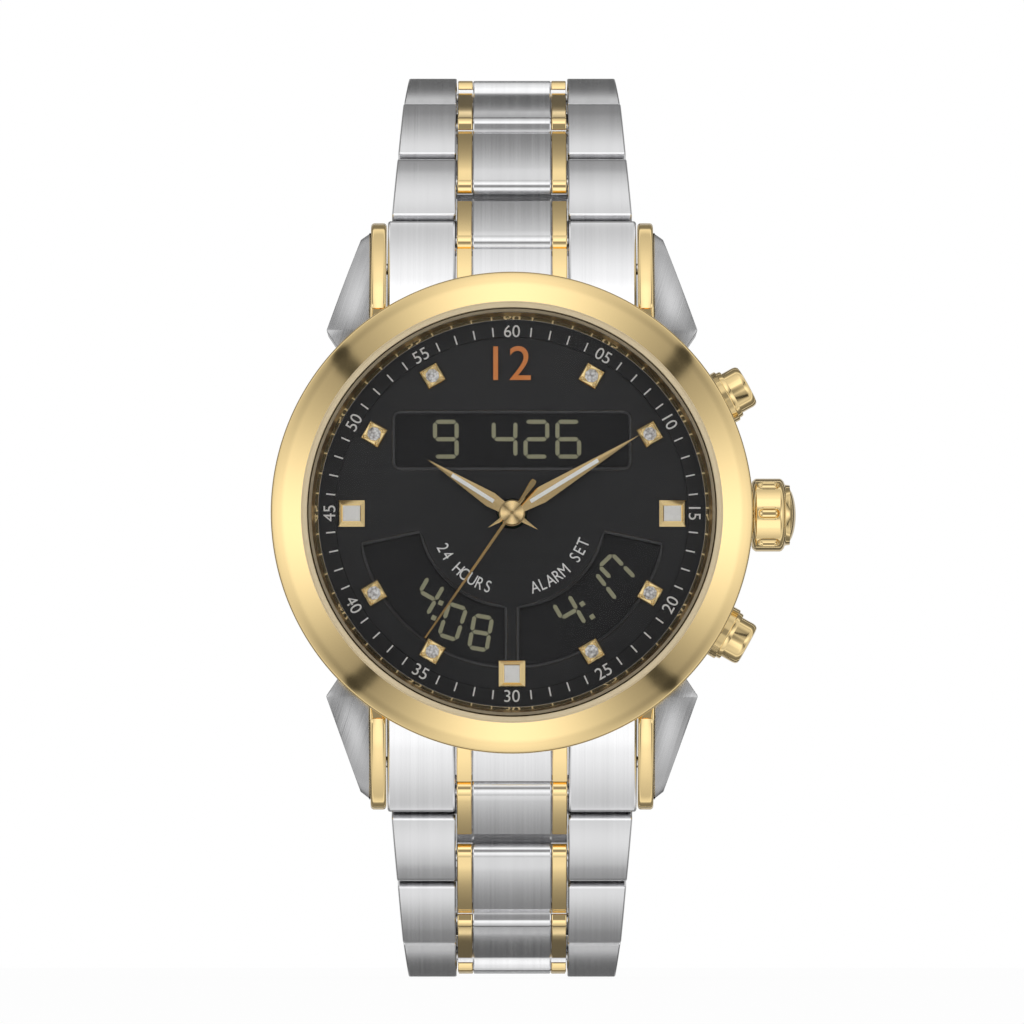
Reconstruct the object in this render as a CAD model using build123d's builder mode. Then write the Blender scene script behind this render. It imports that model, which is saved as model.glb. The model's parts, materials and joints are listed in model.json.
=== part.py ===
from build123d import *
from math import cos, degrees, hypot, radians, sin, sqrt
import os

os.makedirs("parts", exist_ok=True)

# A two-tone analogue-digital wristwatch with its bracelet closed, in millimetres.
# +Z points to 12 o'clock, +X to the crown, and the dial looks along -Y.  The origin is the
# centre of the case back's outer face.  Heights are measured from that face towards the
# dial, so a height h lies at Y = -h.

# ---- Case: radii and heights ----
dial_radius = 16.8
dial_margin = 0.15               # from the dial's edge to the bezel's lip
dial_ledge = 0.9                 # width of the ledge that the dial rests on
crystal_seat = 0.5               # width of the lip that the crystal rests on
gasket_width = 0.25
bezel_step_width = 0.65          # flat matt ring round the crystal
bezel_step_drop = 0.1
bezel_cone_width = 2.65
bezel_overhang = 1.1             # how far the bezel stands out over the case
crystal_thickness = 1.6
crystal_chamfer = 0.25
case_chamfer = 0.8
back_margin = 2.5                # from the case's edge to the case back's
back_thickness = 1.2
back_boss = 0.7
back_rim_width = 4.4             # keyed rim round the case back's middle
back_groove = (0.4, 0.2)         # width and depth
back_key_count = 6
back_key_inset = 1.6
back_key = (1.8, 1.0, 0.5)       # length, width and depth
seal = (0.8, 0.5)                # width and height of the case back's ring
case_height = 7.2
bezel_height = 2.6
bezel_edge_height = 1.7
bezel_foot = 0.5                 # chamfer of the bezel's lower edge
bezel_round = 0.2
bezel_lip_height = 1.4
dial_seat_depth = 1.1
dial_thickness = 0.4
slide_clearance = 0.05           # running fits, on the radius
press_clearance = 0.01           # pressed and screwed fits, on the radius
part_clearance = 0.1             # pieces that only pass each other

# ---- Lugs, lug bars and end links ----
lug_outer_x = 16.2
lug_outer_inset = 3.95           # widest corner, inside the case's radius
lug_root_x = 14.5
lug_root_inset = 6.5
lug_shoulder_x = 13.25           # outer end of the tip's slanted edge
lug_tip_slant = 0.65
lug_length = 4.95                # tip, beyond the case's radius
lug_curve_inset = 4.5            # where the top begins to fall, inside the case's radius
lug_tip_top = 4.0
lug_tip_foot = 2.5
lug_foot_rise = (0.7, 0.75)      # slanted lower edge of the tip: height and length
lug_foot_reach = 0.6
lug_underside = 1.2
bar_outer_x = 12.4
bar_width = 1.35
bar_reach = 5.85                 # tip, beyond the case's radius
bar_proud = 0.5                  # above the end link, beside the bezel
bar_bulge = 0.85
bar_nose = (4.25, 3.4, 2.5)      # heights of the corners of the bar's tip
bar_nose_set = (0.35, 0.4, 1.2)  # how far the corners beside the tip stand back
bar_fillet = 0.4
end_link_gap = 0.25
end_link_underside = 2.2
end_link_foot = 0.7              # lower corner, inside the case's radius
end_link_inset = 3.9             # how far the end link reaches in under the bezel
end_link_bulge = 0.82
end_link_round = 0.25
spring_bar_reach = 1.7           # beyond the case's radius
spring_bar_height = 4.5
spring_bar_depth = 0.5           # into each lug

# ---- Bracelet ----
pitch = 8.0
half_thickness = 1.5
barrel = 0.12                    # how far a row's outside bulges along its length
nose_radius = 2.3                # rounding of each row about its hinge
end_nose_radius = 1.9            # the same, where the bracelet meets the case
nose_gap = 0.15
end_gap = 0.3
tongue_half = 4.85
slot_half = 4.95
strip_inner = 3.5
strip_depth = 0.9
pin_radius = 0.5
pin_recess = 0.2
start_half_width = 10.8
clasp_half_width = 7.8
edge_radius = 0.35
corner_radius = 0.3              # rounding of the blocks' and tongues' square ends
first_tongue_cut = 1.25          # the first tongue is shorter than the others
web_floor = 0.2                  # of the brazed web, above the row's inside
web_drop = 0.1                   # of the brazed web, below the gilt strips
case_joint_reach = 4.16          # hinge of the first row, beyond the case's radius
case_joint_height = 3.2
headings = (45, 47, 66, 93, 124, 151, 161)   # each row's direction, from +Z towards +Y
row_count = len(headings)

# ---- Folding clasp, bent on one arc between the two last rows ----
cover_wall = 1.0
cover_top = 1.7                  # outside above the hinge arc
cover_plate = 1.0
cover_depth = 1.8                # lower edge of the side walls below the hinge arc
blade_thickness = 0.8
cover_end_wall = 1.0
cover_end_gap = 0.8              # between the cover's end and the last row's nose
cover_tongue_start = 1.6         # how far the tongue's plate reaches back under the cover
cover_tongue_drop = 0.2          # of the tongue's plate, below the cover's outside
inner_blade_drop = 1.3           # top of the inner blade, below the hinge arc
inner_blade_half = 5.6
middle_blade_half = 3.5
blade_gap = 0.15
blade_set_back = 1.2             # of each leaf's edge, from its hinge
blade_hinge_angle = 14.0
fold_hinge_rise = 0.5            # hinge between the leaves, above the inner blade's top
knuckle_radius = 0.9
knuckle_half = 2.4
knuckle_room = 0.4
hinge_lug_width = 3.6
stud_radius = 1.0
stud_slot = (6.0, 0.8)           # length, and width beside the stud
button_radius = 1.0
button_flange_radius = 1.1
button_flange = 0.5
button_proud = 0.7
button_drop = 0.5                # axis of the buttons, below the hinge arc
button_round = 0.2

# ---- Dial, hands and displays ----
chapter_width = 1.4
chapter_step = 0.3
chapter_height = 1.6
chapter_rim = 0.15
top_window = (20.4, 4.7)
top_window_z = 6.4
window_corner = 0.5
window_bevel = 0.22
sector_margin = 2.1              # from the chapter ring to the lower windows
sector_width = 5.05
sector_top_drop = 12.0           # degrees below the 3-9 line
divider_half = 0.65
baton_margin = 1.4               # from the chapter ring to the middle of a baton
baton_size = 2.3
inlay_width = 1.35
inlay_length = 1.5
stone_margin = 1.5               # from the chapter ring to the middle of a stone
stone_setting_size = 1.75
stone_radius = 0.62
stone_rise = 0.12
marker_height = 0.45
marker_chamfer = 0.18
inlay_recess = 0.2
baton_hours = (3, 6, 9)
stone_hours = (1, 2, 4, 5, 7, 8, 10, 11)
lcd_thickness = 1.0
lcd_margin = 0.9                 # from the case's bore
pipe_room = 0.25                 # round the hands' pipes
hand_thickness = 0.34
hand_ridge_slope = 14.0
hour_hand_gap = 0.7              # from the dial's front to the hour hand's underside
hand_spacing = 0.45
hour_hand = dict(angle=302.4, length=8.75, width=1.35, widest=2.2, tail=2.7)
minute_hand = dict(angle=58.5, length=13.0, width=1.47, widest=3.0, tail=2.5)
seconds_angle = 214.7
seconds_length = 13.3
seconds_tail = 3.46
seconds_thickness = 0.12
seconds_hub = (0.72, 0.3, 0.12)  # radius, height and rounding
seconds_tip_half = 0.06
seconds_root_half = 0.16
seconds_waist = (0.12, 1.2)      # half width, and distance behind the middle
seconds_flare = (0.27, 0.2)      # half width, and distance before the tail's end
arbor_radius = 0.35
pipe_wall = 0.3
hub_margin = 0.2
train_drop = 0.3                 # top of the wheels, below the panel
pipe_step = 0.4                  # how much deeper each pipe reaches than the one outside it

# ---- Movement ----
board_margin = 1.0               # from the holder's edge
board_thickness = 0.5
board_height = 2.4
holder_margin = 0.3              # from the case's bore
battery_radius = 4.75
battery_thickness = 3.1
battery_height = 2.5
battery_place = (-6.5, -6.0)
piezo_radius = 6.5
piezo_thickness = 0.25
cell_round = 0.25
cell_room = 0.2                  # round the cell in the board
coil_size = (8.0, 2.4, 1.8)
coil_place = (7.0, -8.0)
coil_round = 0.5
channel_reach = 8.0
channel_depth = 1.2              # of the control channels, in front of their axes
pusher_channel_width = 2.4

# ---- Crown and pushers, all on one height ----
control_height = 4.9
tube_radius = 1.5
tube_gap = 0.3
crown_radius = 3.2
crown_reach = 1.05               # back of the crown, beyond the case's radius
crown_length = 2.85
crown_dome = 1.05
crown_dome_radius = 2.65
crown_dome_round = 0.7
crown_chamfer = 0.35
flute_count = 7
flute_width = 0.9
flute_length = 1.9
flute_depth = 0.35
crown_recess_depth = 1.3
crown_recess_room = 0.15
stem_radius = 0.8
stem_reach = 4.0                 # end of the stem, inside the case's bore
stem_overlap = 0.5
stem_groove_radius = 0.5
lever_set = 0.35                 # of the lever, from the stem's end
lever_thickness = 0.3
lever_half_width = 1.2
lever_length = 2.0
pusher_angle = 29.0
pusher_radius = 1.93
pusher_reach = 3.7               # end of a pusher, beyond the case's radius
pusher_travel = 1.0
pusher_round = 0.45
collar_radius = 2.4
collar_inset = 1.3               # back of the collar, inside the case's radius
collar_reach = 2.1
well_inset = 0.7
spring_room = 1.4
spring_inset = 0.45              # middle of the spring, inside the pusher's radius
spring_wire = 0.14               # half the width of the coil
pusher_stem_radius = 0.6
pusher_stem_inset = 0.8          # end of a pusher's stem, inside the case's bore
clip_width = 0.35
clip_thickness = 0.3

# ---- Values worked out from the ones above ----
bezel_lip_radius = dial_radius + dial_margin
crystal_radius = bezel_lip_radius + crystal_seat
bezel_inner_radius = crystal_radius + gasket_width + bezel_step_width
bezel_radius = bezel_inner_radius + bezel_cone_width
case_radius = bezel_radius - bezel_overhang
bore_radius = dial_radius - dial_ledge
back_radius = case_radius - back_margin
back_plate_radius = back_radius - back_rim_width
chapter_inner_radius = dial_radius - chapter_width
sector_outer_radius = chapter_inner_radius - sector_margin
sector_inner_radius = sector_outer_radius - sector_width
baton_radius = chapter_inner_radius - baton_margin
stone_setting_radius = chapter_inner_radius - stone_margin
lcd_radius = bore_radius - lcd_margin
holder_radius = bore_radius - holder_margin
board_radius = holder_radius - board_margin
lug_tip_z = case_radius + lug_length
lug_root_z = case_radius - lug_root_inset
bar_tip_z = case_radius + bar_reach
case_joint = (case_radius + case_joint_reach, -case_joint_height)    # Z and Y
crown_start = case_radius + crown_reach
stem_end = bore_radius - stem_reach
lever_place = stem_end + lever_set
pusher_end = case_radius + pusher_reach
collar_start = case_radius - collar_inset
collar_end = case_radius + collar_reach
pusher_well = case_radius - well_inset
pusher_stem_end = bore_radius - pusher_stem_inset
case_front = back_thickness + case_height
bezel_front = case_front + bezel_height
dial_back = case_front - dial_seat_depth
dial_front = dial_back + dial_thickness
back_inside = back_thickness + back_boss
crystal_back = case_front + bezel_lip_height
hour_hand_height = dial_front + hour_hand_gap
minute_hand_height = hour_hand_height + hand_spacing
seconds_hand_height = minute_hand_height + hand_spacing
movement_front = dial_back - lcd_thickness
holder_back = board_height + board_thickness
taper = (start_half_width - clasp_half_width) / (row_count * pitch)
turning = Plane(origin=(0, 0, 0), x_dir=(1, 0, 0), z_dir=(0, 0, -1))   # radius and height
end_link_half = bar_outer_x - bar_width - end_link_gap


def save(builder, name):
    """Label a finished piece and write it as a node of that name."""
    builder.part.label = name
    export_step(builder.part, f"parts/{name}.step")


def dial_spot(hour, radius):
    """Place on the dial at an hour, turned so that its own Y points outwards."""
    angle = radians(30 * hour)
    return Location((radius * sin(angle), radius * cos(angle), 0), (0, 0, -30 * hour))


def control_plane(angle, distance):
    """Plane across a crown's or pusher's axis, at a distance from the middle of the case."""
    outwards = Vector(cos(radians(angle)), 0, sin(radians(angle)))
    return Plane(origin=Vector(0, -control_height, 0) + outwards * distance,
                 x_dir=(0, -1, 0), z_dir=outwards)


def row_plane(joint, heading):
    """Frame of a bracelet row: X along the bracelet, Y out of the wrist, Z to the crown."""
    angle = radians(heading)
    return Plane(origin=(0, joint[1], joint[0]), x_dir=(0, sin(angle), cos(angle)),
                 z_dir=(1, 0, 0))


# The hinges of the bracelet's upper half, one pitch apart; the lower half mirrors them.
joints = [case_joint]
for heading in headings:
    last = joints[-1]
    joints.append((last[0] + pitch * cos(radians(heading)),
                   last[1] + pitch * sin(radians(heading))))

end_plane = row_plane(case_joint, headings[0])


def beside_case(z, height):
    """A point of the lug area, given as Z and height, in the end link's own frame."""
    point = end_plane.to_local_coords(Vector(0, -height, z))
    return (point.X, point.Y)


def bulged(start, end, bulge):
    """Arc from start to end whose middle stands out to the left of the straight line."""
    across = (end[0] - start[0], end[1] - start[1])
    share = bulge / hypot(*across)
    middle = ((start[0] + end[0]) / 2 - across[1] * share,
              (start[1] + end[1]) / 2 + across[0] * share)
    return ThreePointArc(start, middle, end)


# ======================= Case =======================

# Lug, right of 12 o'clock: its plan is cut by its side view, which curves down to the tip.
bore_start = lug_root_z - 2
lug_curve_start = case_radius - lug_curve_inset
with BuildPart() as lug:
    with BuildSketch(Plane.XZ):
        with BuildLine():
            Polyline((bar_outer_x, bore_start), (lug_root_x, bore_start), (lug_root_x, lug_root_z),
                     (lug_outer_x, case_radius - lug_outer_inset),
                     (lug_shoulder_x, lug_tip_z - lug_tip_slant), (bar_outer_x, lug_tip_z),
                     close=True)
        make_face()
    extrude(amount=case_front)
    with BuildSketch(Plane.YZ):
        with BuildLine():
            Line((-case_front, bore_start), (-case_front, lug_curve_start))
            TangentArc((-case_front, lug_curve_start), (-lug_tip_top, lug_tip_z), tangent=(0, 1))
            Polyline((-lug_tip_top, lug_tip_z), (-lug_tip_foot, lug_tip_z),
                     (-lug_underside - lug_foot_rise[0], lug_tip_z - lug_foot_rise[1]),
                     (-lug_underside, case_radius + lug_foot_reach), (-lug_underside, bore_start),
                     (-case_front, bore_start))
        make_face()
    extrude(amount=bezel_radius, both=True, mode=Mode.INTERSECT)

with BuildPart() as case_middle:
    with BuildSketch(turning):
        with Locations(((bore_radius + case_radius) / 2, back_thickness)):
            Rectangle(case_radius - bore_radius, case_height, align=(Align.CENTER, Align.MIN))
    revolve(axis=Axis.Y)
    chamfer(case_middle.edges().filter_by(GeomType.CIRCLE).group_by(Axis.Y)[-1]
            .sort_by(SortBy.RADIUS)[-1], case_chamfer)
    add(lug.part)
    add(mirror(lug.part, about=Plane.YZ))
    add(mirror(lug.part, about=Plane.XY))
    add(mirror(mirror(lug.part, about=Plane.XY), about=Plane.YZ))
    # Bore for the movement, seat for the dial, groove for the case back's ring
    with BuildSketch(Plane.XZ):
        Circle(bore_radius)
    extrude(amount=case_front, mode=Mode.SUBTRACT)
    with BuildSketch(Plane.XZ.offset(dial_back)):
        Circle(dial_radius + part_clearance)
    extrude(amount=dial_seat_depth, mode=Mode.SUBTRACT)
    with BuildSketch(Plane.XZ.offset(back_thickness)):
        Circle(bore_radius + seal[0])
    extrude(amount=seal[1], mode=Mode.SUBTRACT)
    # Holes for the three control tubes
    hole_depth = case_radius - bore_radius + 2 * dial_ledge
    for angle in (0, pusher_angle, -pusher_angle):
        with BuildSketch(control_plane(angle, bore_radius - dial_ledge)):
            Circle(tube_radius + press_clearance)
        extrude(amount=hole_depth, mode=Mode.SUBTRACT)
    for angle in (pusher_angle, -pusher_angle):
        with BuildSketch(control_plane(angle, collar_start)):
            Circle(collar_radius + press_clearance)
        extrude(amount=hole_depth, mode=Mode.SUBTRACT)
    # Blind holes for the spring bars
    for side in (1, -1):
        with BuildSketch(Plane.YZ):
            with Locations((-spring_bar_height, side * (case_radius + spring_bar_reach))):
                Circle(pin_radius + press_clearance)
        extrude(amount=bar_outer_x + spring_bar_depth + part_clearance, both=True,
                mode=Mode.SUBTRACT)
save(case_middle, "case_middle")

# Bezel: a polished cone outside a flat matt ring, with a lip that the crystal rests on
ring_height = bezel_front - bezel_step_drop
with BuildPart() as bezel:
    with BuildSketch(turning):
        with BuildLine():
            Polyline((bezel_lip_radius, case_front), (bezel_radius - bezel_foot, case_front),
                     (bezel_radius, case_front + bezel_foot),
                     (bezel_radius, case_front + bezel_edge_height),
                     (bezel_inner_radius, bezel_front),
                     (bezel_inner_radius - 1.5 * bezel_step_drop, ring_height),
                     (crystal_radius + gasket_width, ring_height),
                     (crystal_radius + gasket_width, crystal_back),
                     (bezel_lip_radius, crystal_back), close=True)
        make_face()
    revolve(axis=Axis.Y)
    fillet(bezel.edges().filter_by(GeomType.CIRCLE).filter_by(
        lambda edge: abs(edge.radius - bezel_radius) < press_clearance), bezel_round)
save(bezel, "bezel")

# Crystal: a flat disc with a chamfered rim
with BuildPart() as crystal:
    with BuildSketch(Plane.XZ.offset(crystal_back)):
        Circle(crystal_radius)
    extrude(amount=crystal_thickness)
    chamfer(crystal.edges().group_by(Axis.Y)[0], crystal_chamfer)
save(crystal, "crystal")

# Gaskets: the crystal's ring and the case back's ring
with BuildPart() as gaskets:
    with BuildSketch(Plane.XZ.offset(crystal_back)):
        Circle(crystal_radius + gasket_width)
        Circle(crystal_radius, mode=Mode.SUBTRACT)
    extrude(amount=ring_height - crystal_back)
    with BuildSketch(Plane.XZ.offset(back_thickness)):
        Circle(bore_radius + seal[0])
        Circle(bore_radius, mode=Mode.SUBTRACT)
    extrude(amount=seal[1])
save(gaskets, "gaskets")

# Case back: screwed plate with key notches round its rim and a boss inside the bore
with BuildPart() as case_back:
    with BuildSketch(Plane.XZ):
        Circle(back_radius)
    extrude(amount=back_thickness)
    with BuildSketch(Plane.XZ.offset(back_thickness)):
        Circle(bore_radius - press_clearance)
    extrude(amount=back_boss)
    chamfer(case_back.edges().group_by(Axis.Y)[-1], crystal_chamfer)
    with BuildSketch(Plane.XZ):
        Circle(back_plate_radius + back_groove[0])
        Circle(back_plate_radius, mode=Mode.SUBTRACT)
    extrude(amount=back_groove[1], mode=Mode.SUBTRACT)
    with BuildSketch(Plane.XZ):
        with PolarLocations(back_radius - back_key_inset, back_key_count, start_angle=90):
            SlotOverall(back_key[0], back_key[1])
    extrude(amount=back_key[2], mode=Mode.SUBTRACT)
save(case_back, "case_back")


# ======================= Lug bars and end links =======================

# The outside of an end link curves from under the bezel down to the first hinge.
nose_step = sqrt(end_nose_radius**2 - half_thickness**2)
end_link_start = case_radius - end_link_inset
link_top = beside_case(end_link_start, case_front - slide_clearance)
nose_top = (nose_step, half_thickness)
nose_foot = (nose_step, -half_thickness)

# A gilt bar fills the step between each lug and the end link, a little proud of both.
with BuildPart() as upper_bar:
    with BuildSketch(Plane.YZ.offset(bar_outer_x - bar_width)):
        bar_top = (-case_front - bar_proud, end_link_start)
        bar_bend = (-bar_nose[0], bar_tip_z - bar_nose_set[0])
        with BuildLine():
            bulged(bar_bend, bar_top, -bar_bulge)
            Polyline(bar_bend, (-bar_nose[1], bar_tip_z), (-bar_nose[2], bar_tip_z - bar_nose_set[1]),
                     (-end_link_underside, bar_tip_z - bar_nose_set[2]),
                     (-end_link_underside, end_link_start), bar_top)
        make_face()
    extrude(amount=bar_width)
    long_edges = upper_bar.edges().filter_by(GeomType.CIRCLE)
    tip_edges = [edge for face in (upper_bar.faces().filter_by(Axis.X)) for edge in face.edges()
                 if edge.center().Z > bar_bend[1]]
    fillet(list(long_edges) + tip_edges, bar_fillet)
    # Clear of the case's flank and of the bezel's
    with BuildSketch(Plane.XZ):
        Circle(case_radius + part_clearance)
    extrude(amount=case_front, mode=Mode.SUBTRACT)
    with BuildSketch(Plane.XZ.offset(case_front - press_clearance)):
        Circle(bezel_radius + part_clearance)
    extrude(amount=bezel_height, mode=Mode.SUBTRACT)
    with BuildSketch(Plane.YZ):
        with Locations((-spring_bar_height, case_radius + spring_bar_reach)):
            Circle(pin_radius + press_clearance)
    extrude(amount=bar_outer_x, mode=Mode.SUBTRACT)

with BuildPart() as lug_bars:
    add(upper_bar.part)
    mirror(about=Plane.YZ)
    mirror(about=Plane.XY)
save(lug_bars, "lug_bars")

# Notch of the first row's tongue between the knuckles of the end link
with BuildPart() as end_notch:
    with BuildSketch(end_plane):
        with Locations((-end_nose_radius - nose_gap, 0)):
            Rectangle(2 * pitch, 2 * pitch, align=(Align.MIN, Align.CENTER))
    extrude(amount=slot_half, both=True)

with BuildPart() as case_room:
    with BuildSketch(Plane.XZ):
        Circle(case_radius + slide_clearance)
    extrude(amount=case_front)

# End link: knuckles either side of the notch, hollowed to hug the case
with BuildPart() as upper_end_link:
    with BuildSketch(end_plane):
        with BuildLine():
            bulged(link_top, nose_top, end_link_bulge)
            ThreePointArc(nose_top, (end_nose_radius, 0), nose_foot)
            Polyline(nose_foot, beside_case(case_radius - end_link_foot, end_link_underside),
                     beside_case(end_link_start, end_link_underside), link_top)
        make_face()
    extrude(amount=end_link_half, both=True)
    fillet(upper_end_link.edges().filter_by(GeomType.CIRCLE), end_link_round)
    add(end_notch.part, mode=Mode.SUBTRACT)
    add(case_room.part, mode=Mode.SUBTRACT)

# Gilt strips let into the end link, in line with the strips of the rows
with BuildPart() as upper_end_trim:
    with BuildSketch(end_plane.offset(strip_inner)):
        low_top, low_nose = [(x, y - strip_depth) for x, y in (link_top, nose_top)]
        with BuildLine():
            bulged(link_top, nose_top, end_link_bulge)
            Line(nose_top, low_nose)
            bulged(low_nose, low_top, -end_link_bulge)
            Line(low_top, link_top)
        make_face()
    extrude(amount=tongue_half - strip_inner)
    add(end_notch.part, mode=Mode.SUBTRACT)
    add(case_room.part, mode=Mode.SUBTRACT)
    mirror(about=Plane.YZ)

with BuildPart() as end_links:
    add(upper_end_link.part)
    add(upper_end_trim.part, mode=Mode.SUBTRACT)
    # Pin of the first row across the notch
    with BuildSketch(end_plane):
        Circle(pin_radius)
    extrude(amount=end_link_half - pin_recess, both=True)
    # Spring bar through the end link and both gilt bars, into the lugs
    with BuildSketch(Plane.YZ):
        with Locations((-spring_bar_height, case_radius + spring_bar_reach)):
            Circle(pin_radius)
    extrude(amount=bar_outer_x + spring_bar_depth, both=True)
    mirror(about=Plane.XY)
save(end_links, "end_links")

with BuildPart() as end_link_trims:
    add(upper_end_trim.part)
    mirror(about=Plane.XY)
save(end_link_trims, "end_link_trims")


# ======================= Bracelet rows =======================

def make_row(number, has_pin):
    """One row of the upper half: the steel body with its pin, and its two gilt strips."""
    joint = joints[number - 1]
    plane = row_plane(joint, headings[number - 1])
    nose = end_nose_radius if number == 1 else nose_radius
    start_width = start_half_width - taper * pitch * (number - 1)
    block_start = nose + nose_gap
    block_end = pitch + sqrt(nose_radius**2 - half_thickness**2)
    tongue_start = -sqrt(nose**2 - half_thickness**2)
    tongue_end = pitch - nose_radius - end_gap - (first_tongue_cut if number == 1 else 0)
    flank = Plane(origin=plane.from_local_coords((0, 0, start_width)),
                  z_dir=plane.z_dir + plane.x_dir * taper)

    # Outer block of the crown side, with the knuckle that holds the next pin
    with BuildPart() as block:
        with BuildSketch(plane.offset(slot_half)) as side_view:
            with BuildLine():
                Polyline((block_end, -half_thickness), (block_start, -half_thickness),
                         (block_start, half_thickness))
                ThreePointArc((block_start, half_thickness),
                              ((block_start + block_end) / 2, half_thickness + barrel),
                              (block_end, half_thickness))
                ThreePointArc((block_end, half_thickness), (pitch + nose_radius, 0),
                              (block_end, -half_thickness))
            make_face()
            fillet(side_view.vertices().group_by(Axis.X)[0], corner_radius)
        extrude(amount=start_width - slot_half)
        split(bisect_by=flank, keep=Keep.BOTTOM)
        fillet(block.faces().sort_by(Axis.X)[-1].edges(), edge_radius)
        with BuildSketch(plane):
            with Locations((pitch, 0)):
                Circle(pin_radius + press_clearance)
        extrude(amount=start_width, mode=Mode.SUBTRACT)

    # Side view of the tongue that swings in the slot of the row before
    with BuildSketch() as tongue:
        with BuildLine():
            ThreePointArc((tongue_start, -half_thickness), (-nose, 0),
                          (tongue_start, half_thickness))
            ThreePointArc((tongue_start, half_thickness),
                          ((tongue_start + tongue_end) / 2, half_thickness + barrel),
                          (tongue_end, half_thickness))
            Polyline((tongue_end, half_thickness), (tongue_end, -half_thickness),
                     (tongue_start, -half_thickness))
        make_face()
        fillet(tongue.vertices().group_by(Axis.X)[-1], corner_radius)

    # Gilt strips in rebates along both edges of the tongue
    with BuildPart() as strips:
        with BuildSketch(plane.offset(strip_inner)):
            add(tongue.sketch)
        extrude(amount=tongue_half - strip_inner)
        split(bisect_by=Plane(origin=plane.from_local_coords((0, half_thickness - strip_depth, 0)),
                              z_dir=plane.y_dir), keep=Keep.TOP)
        mirror(about=Plane.YZ)

    web_low = -half_thickness + web_floor
    web_high = half_thickness - strip_depth - web_drop
    with BuildPart() as steel:
        add(block.part)
        mirror(about=Plane.YZ)
        with BuildSketch(plane):
            add(tongue.sketch)
        extrude(amount=tongue_half, both=True)
        add(strips.part, mode=Mode.SUBTRACT)
        # Brazed web between tongue and outer blocks
        with BuildSketch(plane):
            with Locations(((block_start + tongue_end) / 2, (web_low + web_high) / 2)):
                Rectangle(tongue_end - block_start - corner_radius, web_high - web_low)
        extrude(amount=slot_half + slide_clearance, both=True)
        with BuildSketch(plane):
            Circle(pin_radius + slide_clearance)
        extrude(amount=slot_half, both=True, mode=Mode.SUBTRACT)
        if has_pin:
            with BuildSketch(plane):
                with Locations((pitch, 0)):
                    Circle(pin_radius)
            extrude(amount=start_width - taper * pitch - pin_recess, both=True)
    return steel, strips


for number in range(1, row_count + 1):
    # The pivot of the last upper row is the cover's spring bar, so that row has no pin.
    steel, strips = make_row(number, has_pin=number < row_count)
    save(steel, f"link_12_{number}")
    save(strips, f"link_12_{number}_trim")
    steel, strips = make_row(number, has_pin=True)
    with BuildPart() as lower_steel:
        add(mirror(steel.part, about=Plane.XY))
    save(lower_steel, f"link_6_{number}")
    with BuildPart() as lower_strips:
        add(mirror(strips.part, about=Plane.XY))
    save(lower_strips, f"link_6_{number}_trim")


# ======================= Folding clasp =======================

# The clasp is bent on an arc that passes through both last hinges along the last rows.
clasp_end = 180 - headings[-1]
clasp_radius = joints[-1][0] / sin(radians(clasp_end))
clasp_centre_y = joints[-1][1] - clasp_radius * cos(radians(clasp_end))
cover_outside = clasp_radius + cover_top
cover_inside = cover_outside - cover_plate
inner_blade_top = clasp_radius - inner_blade_drop
middle_blade_bottom = inner_blade_top + blade_gap
middle_blade_top = middle_blade_bottom + blade_thickness
fold_hinge_radius = inner_blade_top + fold_hinge_rise
cover_hinge_radius = cover_inside - knuckle_radius - part_clearance
button_axis_radius = clasp_radius - button_drop
cover_floor = clasp_radius - 2 * cover_depth     # well below the cover's side walls


def clasp_point(angle, radius):
    """Y and Z of a point of the clasp, from its angle towards 12 and its radius."""
    return (clasp_centre_y + radius * cos(radians(angle)), radius * sin(radians(angle)))


def arc_angle(length):
    """Angle of a length along the hinge arc."""
    return degrees(length / clasp_radius)


def bent_strip(start, end, inner, outer):
    """Side view of a plate bent on the clasp's arc."""
    middle = (start + end) / 2
    with BuildSketch() as strip:
        with BuildLine():
            ThreePointArc(clasp_point(start, outer), clasp_point(middle, outer),
                          clasp_point(end, outer))
            Line(clasp_point(end, outer), clasp_point(end, inner))
            ThreePointArc(clasp_point(end, inner), clasp_point(middle, inner),
                          clasp_point(start, inner))
            Line(clasp_point(start, inner), clasp_point(start, outer))
        make_face()
    return strip.sketch


fold_hinge = clasp_point(blade_hinge_angle, fold_hinge_radius)
cover_hinge = clasp_point(-blade_hinge_angle, cover_hinge_radius)
upper_pivot = clasp_point(clasp_end, clasp_radius)
lower_pivot = clasp_point(-clasp_end, clasp_radius)
cover_shoulder = clasp_end - arc_angle(nose_radius + cover_end_gap)
cover_tail = -blade_hinge_angle
cover_tail_edge = cover_tail - arc_angle(cover_tongue_drop)
tongue_root = clasp_end - arc_angle(nose_radius + nose_gap)
swing_radius = hypot(upper_pivot[0] - fold_hinge[0], upper_pivot[1] - fold_hinge[1]) - nose_radius


def row_end_outline(start, end):
    """Side view of the tongue that a leaf holds out to the last row: as thick as a row."""
    with BuildSketch() as side_view:
        add(bent_strip(min(start, end), max(start, end), clasp_radius - half_thickness,
                       clasp_radius + half_thickness))
        with Locations(clasp_point(end, clasp_radius)):
            Circle(nose_radius)
        add(bent_strip(-2 * clasp_end, 2 * clasp_end, clasp_radius + half_thickness,
                       clasp_radius + 2 * nose_radius), mode=Mode.SUBTRACT)
        add(bent_strip(-2 * clasp_end, 2 * clasp_end, clasp_radius - 2 * nose_radius,
                       clasp_radius - half_thickness), mode=Mode.SUBTRACT)
    return side_view.sketch


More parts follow.
